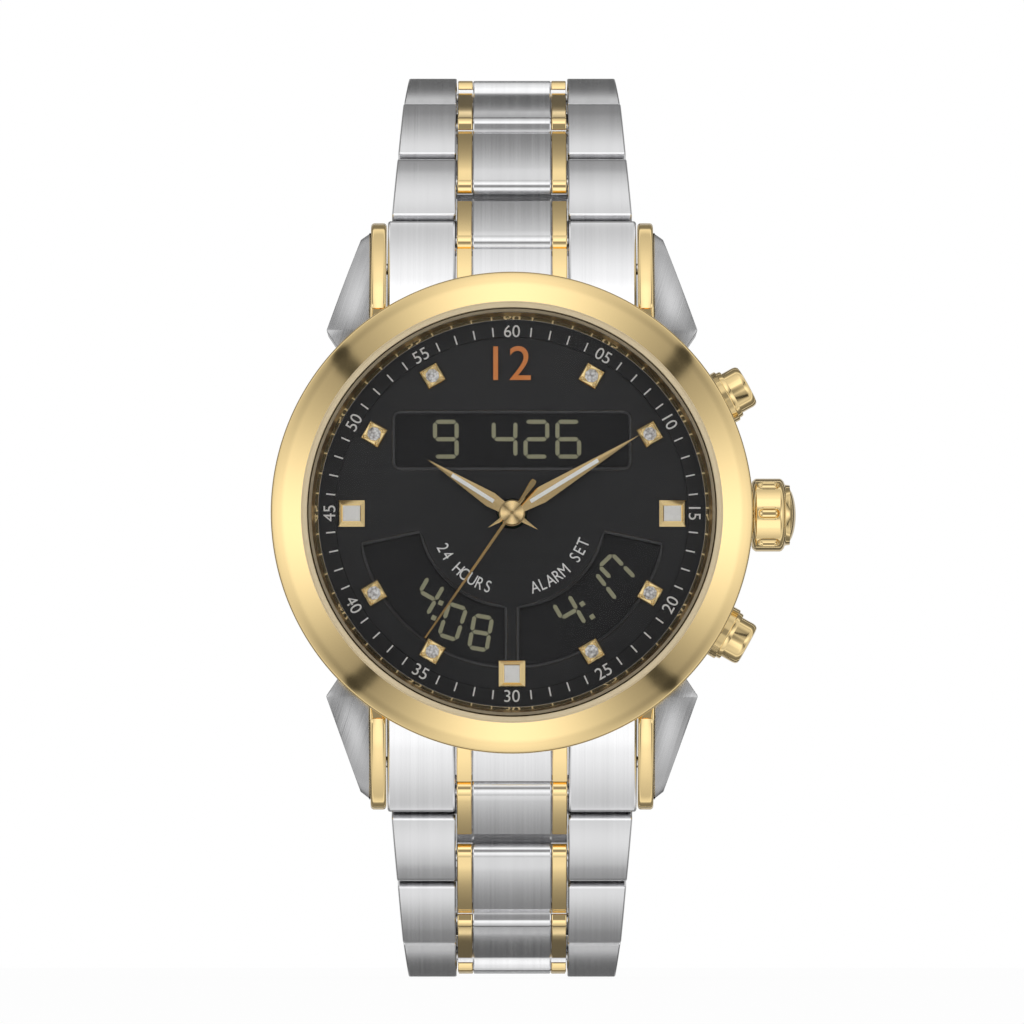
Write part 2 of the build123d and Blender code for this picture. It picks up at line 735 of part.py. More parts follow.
# Cover: a bent channel with a tongue for the last row at one end and hinge lugs at the other
wall_low = clasp_radius - cover_depth
wall_half = (cover_outside - wall_low) / 2
tail_middle = clasp_point(cover_tail, wall_low + wall_half)
tail_tip = (tail_middle[0] + wall_half * sin(radians(cover_tail)),
            tail_middle[1] - wall_half * cos(radians(cover_tail)))
with BuildPart() as clasp_cover:
    with BuildSketch(Plane.YZ):
        with BuildLine():
            ThreePointArc(clasp_point(cover_tail, cover_outside), clasp_point(0, cover_outside),
                          clasp_point(cover_shoulder, cover_outside))
            Line(clasp_point(cover_shoulder, cover_outside), clasp_point(cover_shoulder, wall_low))
            ThreePointArc(clasp_point(cover_shoulder, wall_low), clasp_point(0, wall_low),
                          clasp_point(cover_tail, wall_low))
            ThreePointArc(clasp_point(cover_tail, wall_low), tail_tip,
                          clasp_point(cover_tail, cover_outside))
        make_face()
    extrude(amount=clasp_half_width, both=True)
    fillet(clasp_cover.edges().filter_by(GeomType.CIRCLE).filter_by(
        lambda edge: abs(edge.radius - cover_outside) < press_clearance), edge_radius)
    # Hollow between the side walls, open at the hinge end
    with BuildSketch(Plane.YZ):
        add(bent_strip(-clasp_end, clasp_end, cover_floor, cover_inside))
        add(bent_strip(-clasp_end, cover_tail_edge, cover_floor, cover_outside + cover_plate))
    extrude(amount=clasp_half_width - cover_wall, both=True, mode=Mode.SUBTRACT)
    # End wall, and the end rounded so that it clears the last row as the leaves unfold
    with BuildSketch(Plane.YZ):
        add(bent_strip(cover_shoulder - arc_angle(cover_end_wall), cover_shoulder,
                       fold_hinge_radius + fold_hinge_rise, cover_outside))
    extrude(amount=clasp_half_width - cover_wall / 2, both=True)
    with BuildSketch(Plane.YZ):
        add(bent_strip(blade_hinge_angle, clasp_end, cover_floor, cover_outside + cover_plate))
        with Locations(fold_hinge):
            Circle(swing_radius - part_clearance, mode=Mode.SUBTRACT)
    extrude(amount=clasp_half_width, both=True, mode=Mode.SUBTRACT)
    # Tongue for the last row
    with BuildSketch(Plane.YZ):
        add(bent_strip(cover_shoulder - arc_angle(cover_tongue_start), clasp_end, cover_inside,
                       clasp_radius + half_thickness))
        add(row_end_outline(tongue_root, clasp_end))
    extrude(amount=tongue_half, both=True)
    with BuildSketch(Plane.YZ):
        with Locations(upper_pivot):
            Circle(pin_radius + press_clearance)
    extrude(amount=tongue_half, both=True, mode=Mode.SUBTRACT)
    # Hinge lugs under the cover, either side of the middle blade's knuckle
    for side in (1, -1):
        with BuildSketch(Plane.YZ.offset(side * (knuckle_half + part_clearance))):
            with Locations(cover_hinge):
                Circle(knuckle_radius)
            add(bent_strip(cover_tail_edge, cover_tail + arc_angle(knuckle_radius),
                           cover_hinge_radius, cover_inside + part_clearance))
            with Locations(cover_hinge):
                Circle(pin_radius + press_clearance, mode=Mode.SUBTRACT)
        extrude(amount=side * hinge_lug_width)
    # Holes for the push buttons
    with BuildSketch(Plane.YZ):
        with Locations(clasp_point(0, button_axis_radius)):
            Circle(button_radius + slide_clearance)
    extrude(amount=clasp_half_width, both=True, mode=Mode.SUBTRACT)
    # Hinge pin, and the spring bar drawn back into the tongue
    with BuildSketch(Plane.YZ):
        with Locations(cover_hinge):
            Circle(pin_radius)
    extrude(amount=knuckle_half + hinge_lug_width, both=True)
    with BuildSketch(Plane.YZ):
        with Locations(upper_pivot):
            Circle(pin_radius)
    extrude(amount=tongue_half - slide_clearance, both=True)
save(clasp_cover, "clasp_cover")

leaf_edge = blade_hinge_angle - arc_angle(blade_set_back)

# Middle blade: a slotted leaf with one knuckle at each end
with BuildPart() as clasp_middle_blade:
    with BuildSketch(Plane.YZ):
        add(bent_strip(-leaf_edge, leaf_edge, middle_blade_bottom, middle_blade_top))
    extrude(amount=middle_blade_half, both=True)
    with BuildSketch(Plane.YZ):
        add(bent_strip(-blade_hinge_angle, blade_hinge_angle, middle_blade_bottom,
                       middle_blade_top))
        with Locations(cover_hinge, fold_hinge):
            Circle(knuckle_radius)
    extrude(amount=knuckle_half, both=True)
    with BuildSketch(Plane.YZ):
        with Locations(cover_hinge, fold_hinge):
            Circle(pin_radius + slide_clearance)
    extrude(amount=knuckle_half, both=True, mode=Mode.SUBTRACT)
    with BuildSketch(Plane.XZ.offset(-clasp_centre_y - cover_floor)):
        SlotOverall(stud_slot[0], 2 * stud_radius + stud_slot[1], rotation=90)
    extrude(amount=cover_floor - cover_outside, mode=Mode.SUBTRACT)
save(clasp_middle_blade, "clasp_middle_blade")

# Inner blade: a wide leaf against the wrist, with the tongue for the last lower row
with BuildPart() as clasp_inner_blade:
    with BuildSketch(Plane.YZ):
        add(bent_strip(-tongue_root, leaf_edge, inner_blade_top - blade_thickness, inner_blade_top))
    extrude(amount=inner_blade_half, both=True)
    with BuildSketch(Plane.YZ):
        add(bent_strip(leaf_edge - arc_angle(corner_radius), blade_hinge_angle,
                       inner_blade_top - blade_thickness, inner_blade_top))
        with Locations(fold_hinge):
            Circle(knuckle_radius)
    extrude(amount=inner_blade_half, both=True)
    with BuildSketch(Plane.YZ):
        add(row_end_outline(-tongue_root, -clasp_end))
        add(bent_strip(-clasp_end + arc_angle(nose_radius / 2), -tongue_root + arc_angle(end_gap),
                       inner_blade_top - blade_thickness, inner_blade_top))
    extrude(amount=tongue_half, both=True)
    # Gap for the middle blade's knuckle, and both pin holes
    with BuildSketch(Plane.YZ):
        with Locations(fold_hinge):
            Circle(knuckle_radius + knuckle_room)
    extrude(amount=knuckle_half + part_clearance, both=True, mode=Mode.SUBTRACT)
    with BuildSketch(Plane.YZ):
        with Locations(fold_hinge):
            Circle(pin_radius + press_clearance)
        with Locations(lower_pivot):
            Circle(pin_radius + slide_clearance)
    extrude(amount=inner_blade_half, both=True, mode=Mode.SUBTRACT)
    # Catch stud, standing through the slot of the middle blade
    with BuildSketch(Plane.XZ.offset(-clasp_centre_y - inner_blade_top + blade_thickness / 2)):
        Circle(stud_radius)
    extrude(amount=inner_blade_top - cover_inside - blade_thickness / 2 + cover_tongue_drop)
    with BuildSketch(Plane.YZ):
        with Locations(fold_hinge):
            Circle(pin_radius)
    extrude(amount=inner_blade_half, both=True)
save(clasp_inner_blade, "clasp_inner_blade")

# Push buttons in the cover's side walls
wall_inside = clasp_half_width - cover_wall
for side, name in ((1, "clasp_button_right"), (-1, "clasp_button_left")):
    with BuildPart() as button:
        with BuildSketch(Plane.YZ.offset(side * (wall_inside - part_clearance))):
            with Locations(clasp_point(0, button_axis_radius)):
                Circle(button_flange_radius)
        extrude(amount=-side * button_flange)
        with BuildSketch(Plane.YZ.offset(side * (wall_inside - part_clearance))):
            with Locations(clasp_point(0, button_axis_radius)):
                Circle(button_radius)
        extrude(amount=side * (part_clearance + cover_wall + button_proud))
        fillet(button.faces().sort_by(Axis.X)[-1 if side > 0 else 0].edges(), button_round)
    save(button, name)


# ======================= Dial =======================

# Pipes of the hands, one in the other round the seconds hand's arbor
pipe_inner = arbor_radius + slide_clearance
pipe_outer = pipe_inner + pipe_wall
hour_pipe_inner = pipe_outer + slide_clearance
hour_pipe_outer = hour_pipe_inner + pipe_wall
pipes_room = hour_pipe_outer + pipe_room

with BuildPart() as dial:
    with BuildSketch(Plane.XZ.offset(dial_back)):
        Circle(dial_radius)
        Circle(pipes_room, mode=Mode.SUBTRACT)
    extrude(amount=dial_thickness)
    # Upper window
    with BuildSketch(Plane.XZ.offset(dial_back)):
        with Locations((0, top_window_z)):
            RectangleRounded(top_window[0], top_window[1], window_corner)
    extrude(amount=dial_thickness, mode=Mode.SUBTRACT)
    # Two lower windows, quarter rings either side of a bar
    with BuildSketch(Plane.XZ.offset(dial_back)) as sectors:
        Circle(sector_outer_radius)
        Circle(sector_inner_radius, mode=Mode.SUBTRACT)
        Rectangle(2 * divider_half, 2 * sector_outer_radius, mode=Mode.SUBTRACT)
        with BuildLine():
            reach = 2 * sector_outer_radius
            drop = reach * sin(radians(sector_top_drop))
            Polyline((0, 0), (reach, -drop), (reach, reach), (-reach, reach), (-reach, -drop),
                     close=True)
        make_face(mode=Mode.SUBTRACT)
        fillet(sectors.vertices(), window_corner)
    extrude(amount=dial_thickness, mode=Mode.SUBTRACT)
    inner_edges = dial.faces().sort_by(Axis.Y)[0].inner_wires().edges()
    chamfer([edge for edge in inner_edges
             if hypot(edge.center().X, edge.center().Z) > 2 * pipes_room], window_bevel)
save(dial, "dial")

# Chapter ring: black sloping flange round the dial
with BuildPart() as chapter_ring:
    with BuildSketch(turning):
        with BuildLine():
            Polyline((chapter_inner_radius, dial_front), (dial_radius, dial_front),
                     (dial_radius, dial_front + chapter_height),
                     (dial_radius - chapter_rim, dial_front + chapter_height),
                     (chapter_inner_radius, dial_front + chapter_step), close=True)
        make_face()
    revolve(axis=Axis.Y)
save(chapter_ring, "chapter_ring")

# Applied hour markers: three batons with a rebate for enamel, eight stone settings
marker_top = dial_front + marker_height
with BuildPart() as hour_markers:
    with BuildSketch(Plane.XZ.offset(dial_front)):
        with Locations(*[dial_spot(hour, baton_radius) for hour in baton_hours]):
            Rectangle(baton_size, baton_size)
        with Locations(*[dial_spot(hour, stone_setting_radius) for hour in stone_hours]):
            Rectangle(stone_setting_size, stone_setting_size)
    extrude(amount=marker_height)
    chamfer(hour_markers.edges().group_by(Axis.Y)[0], marker_chamfer)
    with BuildSketch(Plane.XZ.offset(marker_top)):
        with Locations(*[dial_spot(hour, baton_radius) for hour in baton_hours]):
            Rectangle(inlay_width, inlay_length)
        with Locations(*[dial_spot(hour, stone_setting_radius) for hour in stone_hours]):
            Circle(stone_radius + press_clearance)
    extrude(amount=-inlay_recess, mode=Mode.SUBTRACT)
save(hour_markers, "hour_markers")

with BuildPart() as marker_stones:
    with BuildSketch(Plane.XZ.offset(marker_top - inlay_recess)):
        with Locations(*[dial_spot(hour, stone_setting_radius) for hour in stone_hours]):
            Circle(stone_radius)
    extrude(amount=inlay_recess + stone_rise)
    chamfer(marker_stones.edges().group_by(Axis.Y)[0], marker_chamfer, stone_rise)
save(marker_stones, "marker_stones")

with BuildPart() as marker_inlays:
    with BuildSketch(Plane.XZ.offset(marker_top - inlay_recess)):
        with Locations(*[dial_spot(hour, baton_radius) for hour in baton_hours]):
            Rectangle(inlay_width, inlay_length)
    extrude(amount=inlay_recess)
save(marker_inlays, "marker_inlays")


# ======================= Hands =======================

def make_pointed_hand(shape, height, hub_radius, bore, pipe_radius, pipe_end):
    """A faceted hand pointing to 12 on a pipe, turned to its place on the dial."""
    with BuildPart() as hand:
        with BuildSketch(Plane.XZ.offset(height)):
            with BuildLine():
                Polyline((0, shape["length"]), (shape["width"] / 2, shape["widest"]),
                         (0, -shape["tail"]), (-shape["width"] / 2, shape["widest"]), close=True)
            make_face()
            Circle(hub_radius)
        extrude(amount=hand_thickness)
        for side in (1, -1):
            slope = radians(hand_ridge_slope)
            facet = Plane(origin=(0, -height - hand_thickness, 0),
                          z_dir=(side * sin(slope), -cos(slope), 0))
            split(bisect_by=facet, keep=Keep.BOTTOM)
        with BuildSketch(Plane.XZ.offset(pipe_end)):
            Circle(pipe_radius)
        extrude(amount=height - pipe_end + slide_clearance)
        with BuildSketch(Plane.XZ.offset(pipe_end)):
            Circle(bore)
        extrude(amount=height + hand_thickness - pipe_end, mode=Mode.SUBTRACT)
    with BuildPart() as turned:
        add(hand.part.rotate(Axis.Y, shape["angle"]))
    return turned


train_front = movement_front - train_drop
hour = make_pointed_hand(hour_hand, hour_hand_height, hour_pipe_outer + hub_margin,
                         hour_pipe_inner, hour_pipe_outer, train_front - pipe_step)
save(hour, "hour_hand")
minute = make_pointed_hand(minute_hand, minute_hand_height, pipe_outer + hub_margin,
                           pipe_inner, pipe_outer, train_front - 2 * pipe_step)
save(minute, "minute_hand")

# Seconds hand: a needle with a flared counterweight on a domed hub
with BuildPart() as needle:
    with BuildSketch(Plane.XZ.offset(seconds_hand_height)):
        right_side = [(seconds_tip_half, seconds_length), (seconds_root_half, 0),
                      (seconds_waist[0], -seconds_waist[1]),
                      (seconds_flare[0], seconds_flare[1] - seconds_tail)]
        left_side = [(-x, y) for x, y in reversed(right_side)]
        with BuildLine():
            Polyline(*right_side, (0, -seconds_tail), *left_side, close=True)
        make_face()
    extrude(amount=seconds_thickness)
    with BuildSketch(Plane.XZ.offset(seconds_hand_height)):
        Circle(seconds_hub[0])
    extrude(amount=seconds_hub[1])
    fillet(needle.edges().group_by(Axis.Y)[0], seconds_hub[2])
    arbor_end = train_front - 3 * pipe_step
    with BuildSketch(Plane.XZ.offset(arbor_end)):
        Circle(arbor_radius)
    extrude(amount=seconds_hand_height - arbor_end + slide_clearance)
with BuildPart() as seconds:
    add(needle.part.rotate(Axis.Y, seconds_angle))
save(seconds, "seconds_hand")


# ======================= Movement =======================

with BuildPart() as lcd_panel:
    with BuildSketch(Plane.XZ.offset(movement_front)):
        Circle(lcd_radius)
        Circle(pipes_room, mode=Mode.SUBTRACT)
    extrude(amount=lcd_thickness)
save(lcd_panel, "lcd_panel")

# Holder: moulded plate with pockets for cell and coil, and channels for stem and pushers
with BuildPart() as movement_holder:
    with BuildSketch(Plane.XZ.offset(holder_back)):
        Circle(holder_radius)
        Circle(pipes_room, mode=Mode.SUBTRACT)
    extrude(amount=movement_front - holder_back)
    with BuildSketch(Plane.XZ.offset(holder_back)):
        with Locations(battery_place):
            Circle(battery_radius + part_clearance)
    extrude(amount=battery_height + battery_thickness + slide_clearance - holder_back,
            mode=Mode.SUBTRACT)
    with BuildSketch(Plane.XZ.offset(holder_back)):
        with Locations(coil_place):
            Rectangle(coil_size[0] + 2 * part_clearance, coil_size[1] + 2 * part_clearance)
    extrude(amount=coil_size[2] + part_clearance, mode=Mode.SUBTRACT)
    with BuildSketch(Plane.XZ.offset(holder_back)):
        with Locations((stem_end - 4 * part_clearance, 0)):
            Rectangle(channel_reach, 2 * lever_half_width + 3 * part_clearance,
                      align=(Align.MIN, Align.CENTER))
        for side in (1, -1):
            angle = radians(side * pusher_angle)
            inner = pusher_stem_end - pusher_travel - 3 * part_clearance
            with Locations(Location((inner * cos(angle), inner * sin(angle), 0),
                                    (0, 0, degrees(angle)))):
                Rectangle(channel_reach, pusher_channel_width, align=(Align.MIN, Align.CENTER))
    extrude(amount=control_height + channel_depth - holder_back, mode=Mode.SUBTRACT)
save(movement_holder, "movement_holder")

# Circuit board with the motor coil standing on it
with BuildPart() as circuit_board:
    with BuildSketch(Plane.XZ.offset(board_height)):
        Circle(board_radius)
        with Locations(battery_place):
            Circle(battery_radius + cell_room, mode=Mode.SUBTRACT)
    extrude(amount=board_thickness)
    with BuildSketch(Plane.XZ.offset(holder_back + press_clearance)):
        with Locations(coil_place):
            RectangleRounded(coil_size[0], coil_size[1], coil_round)
    extrude(amount=coil_size[2])
save(circuit_board, "circuit_board")

with BuildPart() as battery:
    with BuildSketch(Plane.XZ.offset(battery_height)):
        with Locations(battery_place):
            Circle(battery_radius)
    extrude(amount=battery_thickness)
    fillet(battery.edges(), cell_round)
save(battery, "battery")

with BuildPart() as piezo_disc:
    with BuildSketch(Plane.XZ.offset(back_inside)):
        Circle(piezo_radius)
    extrude(amount=piezo_thickness)
save(piezo_disc, "piezo_disc")


# ======================= Crown, lever and pushers =======================

# Tubes pressed into the case wall; those of the pushers end in a gilt collar.
with BuildPart() as case_tubes:
    with BuildSketch(control_plane(0, bore_radius)):
        Circle(tube_radius)
    extrude(amount=crown_start + crown_recess_depth - tube_gap - bore_radius)
    with BuildSketch(control_plane(0, bore_radius)):
        Circle(stem_radius + slide_clearance)
    extrude(amount=crown_start + crown_recess_depth - bore_radius, mode=Mode.SUBTRACT)
    for angle in (pusher_angle, -pusher_angle):
        with BuildSketch(control_plane(angle, bore_radius)):
            Circle(tube_radius)
        extrude(amount=pusher_well - bore_radius)
        with BuildSketch(control_plane(angle, collar_start)):
            Circle(collar_radius)
        extrude(amount=collar_end - collar_start)
        with BuildSketch(control_plane(angle, bore_radius)):
            Circle(pusher_stem_radius + slide_clearance)
        extrude(amount=pusher_well - bore_radius, mode=Mode.SUBTRACT)
        with BuildSketch(control_plane(angle, pusher_well)):
            Circle(pusher_radius + slide_clearance)
        extrude(amount=collar_end - pusher_well, mode=Mode.SUBTRACT)
save(case_tubes, "case_tubes")

# Crown: fluted knob with a domed end, hollow over its tube, on a grooved stem
with BuildPart() as crown:
    with BuildSketch(control_plane(0, crown_start)):
        Circle(crown_radius)
    extrude(amount=crown_length)
    chamfer(crown.edges().filter_by(GeomType.CIRCLE), crown_chamfer)
    with BuildSketch(control_plane(0, crown_start + crown_length)):
        Circle(crown_dome_radius)
    extrude(amount=crown_dome)
    fillet(crown.edges().group_by(Axis.X)[-1], crown_dome_round)
    with BuildSketch(control_plane(0, crown_start)):
        Circle(tube_radius + crown_recess_room)
    extrude(amount=crown_recess_depth, mode=Mode.SUBTRACT)
    for step in range(flute_count):
        turn = Vector(0, -1, 0).rotate(Axis.X, 360 * step / flute_count)
        middle = Vector(crown_start + crown_length / 2, -control_height, 0)
        with BuildSketch(Plane(origin=middle + turn * crown_radius, x_dir=(1, 0, 0), z_dir=turn)):
            SlotOverall(flute_length, flute_width)
        extrude(amount=-flute_depth, mode=Mode.SUBTRACT)
    with BuildSketch(control_plane(0, stem_end)):
        Circle(stem_radius)
    extrude(amount=crown_start + crown_length - stem_overlap - stem_end)
    with BuildSketch(control_plane(0, lever_place - slide_clearance)):
        Circle(stem_radius)
        Circle(stem_groove_radius, mode=Mode.SUBTRACT)
    extrude(amount=lever_thickness + 2 * slide_clearance, mode=Mode.SUBTRACT)
save(crown, "crown")

# Setting lever: a forked plate in the stem's groove that moves with the crown
with BuildPart() as setting_lever:
    with BuildSketch(control_plane(0, lever_place)):
        Rectangle(lever_length, 2 * lever_half_width)
        Circle(stem_groove_radius + slide_clearance, mode=Mode.SUBTRACT)
        with Locations((-lever_length / 2, 0)):
            Rectangle(lever_length, 2 * (stem_groove_radius + slide_clearance), mode=Mode.SUBTRACT)
    extrude(amount=lever_thickness)
save(setting_lever, "setting_lever")

# Pushers: headed plungers that slide in their collars against a spring
head_start = pusher_well + spring_room
for side, name in ((1, "pusher_upper"), (-1, "pusher_lower")):
    with BuildPart() as pusher:
        with BuildSketch(control_plane(side * pusher_angle, head_start)):
            Circle(pusher_radius)
        extrude(amount=pusher_end - head_start)
        outwards = Vector(cos(radians(pusher_angle)), 0, side * sin(radians(pusher_angle)))
        fillet(pusher.edges().sort_by(Axis((0, 0, 0), outwards))[-1], pusher_round)
        with BuildSketch(control_plane(side * pusher_angle, pusher_stem_end)):
            Circle(pusher_stem_radius)
        extrude(amount=head_start - pusher_stem_end + part_clearance)
        # Retaining clip inside the case
        clip_start = bore_radius - clip_thickness - part_clearance
        with BuildSketch(control_plane(side * pusher_angle, clip_start)):
            Circle(pusher_stem_radius + clip_width)
        extrude(amount=clip_thickness)
    save(pusher, name)

# Return springs round the pushers' stems
spring_middle = pusher_radius - spring_inset
with BuildPart() as pusher_springs:
    for side in (1, -1):
        with BuildSketch(control_plane(side * pusher_angle, pusher_well + slide_clearance)):
            Circle(spring_middle + spring_wire)
            Circle(spring_middle - spring_wire, mode=Mode.SUBTRACT)
        extrude(amount=spring_room - 2 * slide_clearance)
save(pusher_springs, "pusher_springs")
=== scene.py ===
import bmesh
import bpy
import json
from math import atan2, cos, degrees, pi, radians, sin, sqrt
from mathutils import Matrix, Vector


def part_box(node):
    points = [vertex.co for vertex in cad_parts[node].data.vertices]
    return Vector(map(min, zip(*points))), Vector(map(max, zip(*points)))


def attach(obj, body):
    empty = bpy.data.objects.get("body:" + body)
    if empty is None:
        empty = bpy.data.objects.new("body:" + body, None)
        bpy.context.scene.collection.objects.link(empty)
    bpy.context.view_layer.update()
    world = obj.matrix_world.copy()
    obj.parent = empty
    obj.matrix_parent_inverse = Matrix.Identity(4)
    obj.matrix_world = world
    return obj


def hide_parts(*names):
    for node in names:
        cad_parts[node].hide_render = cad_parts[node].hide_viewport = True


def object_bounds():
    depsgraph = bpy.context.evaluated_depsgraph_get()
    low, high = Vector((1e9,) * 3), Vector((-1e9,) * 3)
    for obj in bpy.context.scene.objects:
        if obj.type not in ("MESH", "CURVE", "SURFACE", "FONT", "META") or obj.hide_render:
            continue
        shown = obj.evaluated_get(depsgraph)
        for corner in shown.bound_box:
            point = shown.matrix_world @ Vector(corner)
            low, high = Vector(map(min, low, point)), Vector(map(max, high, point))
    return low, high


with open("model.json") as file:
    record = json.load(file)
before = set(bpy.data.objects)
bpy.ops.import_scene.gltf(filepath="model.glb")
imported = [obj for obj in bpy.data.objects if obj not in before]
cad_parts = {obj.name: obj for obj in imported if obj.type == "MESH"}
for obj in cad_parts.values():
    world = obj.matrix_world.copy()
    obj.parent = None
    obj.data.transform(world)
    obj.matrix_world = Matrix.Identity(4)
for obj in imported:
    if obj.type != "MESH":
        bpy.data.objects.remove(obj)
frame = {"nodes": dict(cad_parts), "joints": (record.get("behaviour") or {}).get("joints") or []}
cad_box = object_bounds()
nodes = frame["nodes"]
mm = 0.001


# ==================== Studio: camera, white sweep and soft light ====================
# The watch stands upright on its closed bracelet and faces a long lens.  A white room
# with four soft panels in front of it lights it, with narrow gaps at the corners.

scene = bpy.context.scene
scene.view_settings.view_transform = "Standard"
picture_size, pixels_per_mm = 1024, 11.5
frame_width = picture_size / pixels_per_mm * mm     # what the picture spans at the bezel
sensor_width = 36
lens_distance = 0.80
bezel_plane = 0.0105
lens_drop = radians(2.8)                # the lens looks up a little, from just above the floor
camera_data = bpy.data.cameras.new("camera")
camera = bpy.data.objects.new("camera", camera_data)
scene.collection.objects.link(camera)
camera.location = (0, -bezel_plane - lens_distance * cos(lens_drop), -lens_distance * sin(lens_drop))
camera.rotation_euler = (pi / 2 + lens_drop, 0, 0)
camera_data.sensor_width = sensor_width
camera_data.lens = sensor_width * lens_distance / frame_width
camera_data.clip_start = 0.01
scene.camera = camera


class Signal:
    """A value or colour on its way through a finish; arithmetic adds Math nodes."""

    def __init__(self, finish, socket):
        self.finish = finish
        self.socket = socket

    def maths(self, operation, *values):
        sockets = dict(enumerate(values))
        return self.finish.node("ShaderNodeMath", {"operation": operation}, sockets)

    def __add__(self, other):
        return self.maths("ADD", self, other)

    def __sub__(self, other):
        return self.maths("SUBTRACT", self, other)

    def __rsub__(self, other):
        return self.maths("SUBTRACT", other, self)

    def __mul__(self, other):
        return self.maths("MULTIPLY", self, other)

    def __truediv__(self, other):
        return self.maths("DIVIDE", self, other)

    __radd__ = __add__
    __rmul__ = __mul__

    def size(self):
        return self.maths("ABSOLUTE", self)

    def between(self, low, high):
        """0 below low, 1 above high, and straight in between."""
        return self.finish.node("ShaderNodeMapRange", {"clamp": True},
                                {"Value": self, "From Min": low, "From Max": high})


class Finish:
    """A node tree with a few short words for what is built in it."""

    def __init__(self, tree):
        self.tree = tree

    def node(self, kind, settings=None, sockets=None, out=0):
        """A node of that type, its settings first, then its sockets' values or links."""
        made = self.tree.nodes.new(kind)
        for key, value in (settings or {}).items():
            if key == "stops":
                for place, (position, colour) in enumerate(value):
                    stop = (made.color_ramp.elements[place] if place < 2
                            else made.color_ramp.elements.new(position))
                    stop.position = position
                    stop.color = (*colour, 1)
            else:
                setattr(made, key, value)
        for key, value in (sockets or {}).items():
            if isinstance(value, Signal):
                self.tree.links.new(value.socket, made.inputs[key])
            else:
                made.inputs[key].default_value = value
        return Signal(self, made.outputs[out])

    def place(self):
        return self.node("ShaderNodeTexCoord", out="Object")

    def axis(self, name, vector=None):
        """One coordinate of the piece, in metres, or of a vector."""
        return self.node("ShaderNodeSeparateXYZ", None, {"Vector": vector or self.place()}, out=name)

    def ray(self, kind):
        """1 for rays of that kind, such as Camera or Glossy, and 0 for the others."""
        return self.node("ShaderNodeLightPath", out=f"Is {kind} Ray")

    def stretched(self, scale, turn=(0, 0, 0)):
        """The piece's coordinates, turned and then scaled, for a pattern with a grain."""
        turned = self.node("ShaderNodeMapping", None, {"Vector": self.place(), "Rotation": turn})
        return self.node("ShaderNodeMapping", None, {"Vector": turned, "Scale": scale})

    def noise(self, vector, scale=1.0, detail=3.0, roughness=0.5):
        return self.node("ShaderNodeTexNoise", None, {
            "Vector": vector, "Scale": scale, "Detail": detail, "Roughness": roughness})

    def blend(self, factor, first, second):
        return self.node("ShaderNodeMix", {"data_type": "RGBA"},
                         {0: factor, 6: (*first, 1), 7: (*second, 1)}, out=2)


class Material(Finish):
    """A finish for a piece: one Principled shader, with what is the same all over set on it."""

    def __init__(self, name, **constants):
        self.made = bpy.data.materials.new(name)
        self.made.use_nodes = True
        super().__init__(self.made.node_tree)
        self.shader = self.tree.nodes["Principled BSDF"]
        for key, value in constants.items():
            socket = self.shader.inputs[key.replace("_", " ").title().replace("Ior", "IOR")]
            socket.default_value = (*value, 1) if key == "base_color" else value

    def feed(self, socket, signal):
        self.tree.links.new(signal.socket, self.shader.inputs[socket])

    def relief(self, height, depth):
        """Fine relief from a height between 0 and 1, depth metres from low to high."""
        self.feed("Normal", self.node("ShaderNodeBump", None, {
            "Height": height, "Distance": depth, "Strength": 1.0}))

    def worn(self, scale, detail, roughness=None, wear=0.0, colours=None, coarse=0.5, depth=None):
        """Roughness, colour and relief, each where it is given, that follow one fine noise."""
        if isinstance(scale, tuple):
            grain = self.noise(self.stretched(scale), 1.0, detail, coarse)
        else:
            grain = self.noise(self.place(), scale, detail, coarse)
        if roughness is not None:
            self.feed("Roughness", roughness + wear * grain)
        if colours is not None:
            self.feed("Base Color", self.blend(grain, *colours))
        if depth is not None:
            self.relief(grain, depth)
        return self


# Room: white to the eye and plain light on paint; metal sees soft panels with dark gaps,
# given by the angle from the lens and by the direction round it
world = bpy.data.worlds.new("studio")
scene.world = world
world.use_nodes = True
room = Finish(world.node_tree)
background = world.node_tree.nodes["Background"]
look = room.node("ShaderNodeTexCoord", out="Generated")
look_x, look_y, look_z = (room.axis(name, look) for name in "XYZ")
ahead = look_z * sin(lens_drop) - look_y * cos(lens_drop)
off_lens = ahead.maths("ARCCOSINE", ahead) / pi                      # 0 at the lens, 1 behind
tone_by_angle = [(0, 0.30), (10, 0.32), (24, 1.0), (44, 1.0), (50, 0.84), (70, 0.80), (84, 0.62),
                 (86, 0.85), (88, 0.98), (90, 1.02), (92, 0.90), (94, 0.70), (96, 0.48), (98, 0.37),
                 (102, 0.25), (122, 0.18), (126, 0.35), (127.5, 0.95), (129, 1.0), (131, 0.35),
                 (133, 0.13), (145, 0.13), (152, 0.60), (180, 0.65)]
panels = room.node("ShaderNodeValToRGB", {"stops": [(angle / 180, (tone, tone, tone))
                                                    for angle, tone in tone_by_angle]}, {0: off_lens})
quarter = look_x.maths("ARCTAN2", look_x, look_z) / (pi / 2)         # 12, 3, 6 and 9 are whole
off_corner = (quarter.maths("FRACT", quarter) - 0.5).size() * 90     # degrees from a corner
ring_reach = off_lens.between(0.40, 0.30) * off_lens.between(0.09, 0.13)
low_side = (look_z * -1).between(-0.05, 0.1)
corner_fall = (0.12 + 0.05 * low_side) - 0.46 * quarter.maths("COSINE", quarter * 2 * pi)
corner_gap = 0.80 * off_corner.between(3.2, 0.8)
ring_tone = 1 - ring_reach * (corner_fall + corner_gap)
ring_tone = ring_tone.maths("MAXIMUM", ring_tone, 0.06)
plain_level = 0.85
seen = room.ray("Camera") + room.ray("Transmission")
strength = (plain_level + (1 - plain_level) * seen
            + room.ray("Glossy") * (panels * ring_tone - plain_level))
world.node_tree.links.new(strength.socket, background.inputs["Strength"])
background.inputs["Color"].default_value = (1, 1, 1, 1)


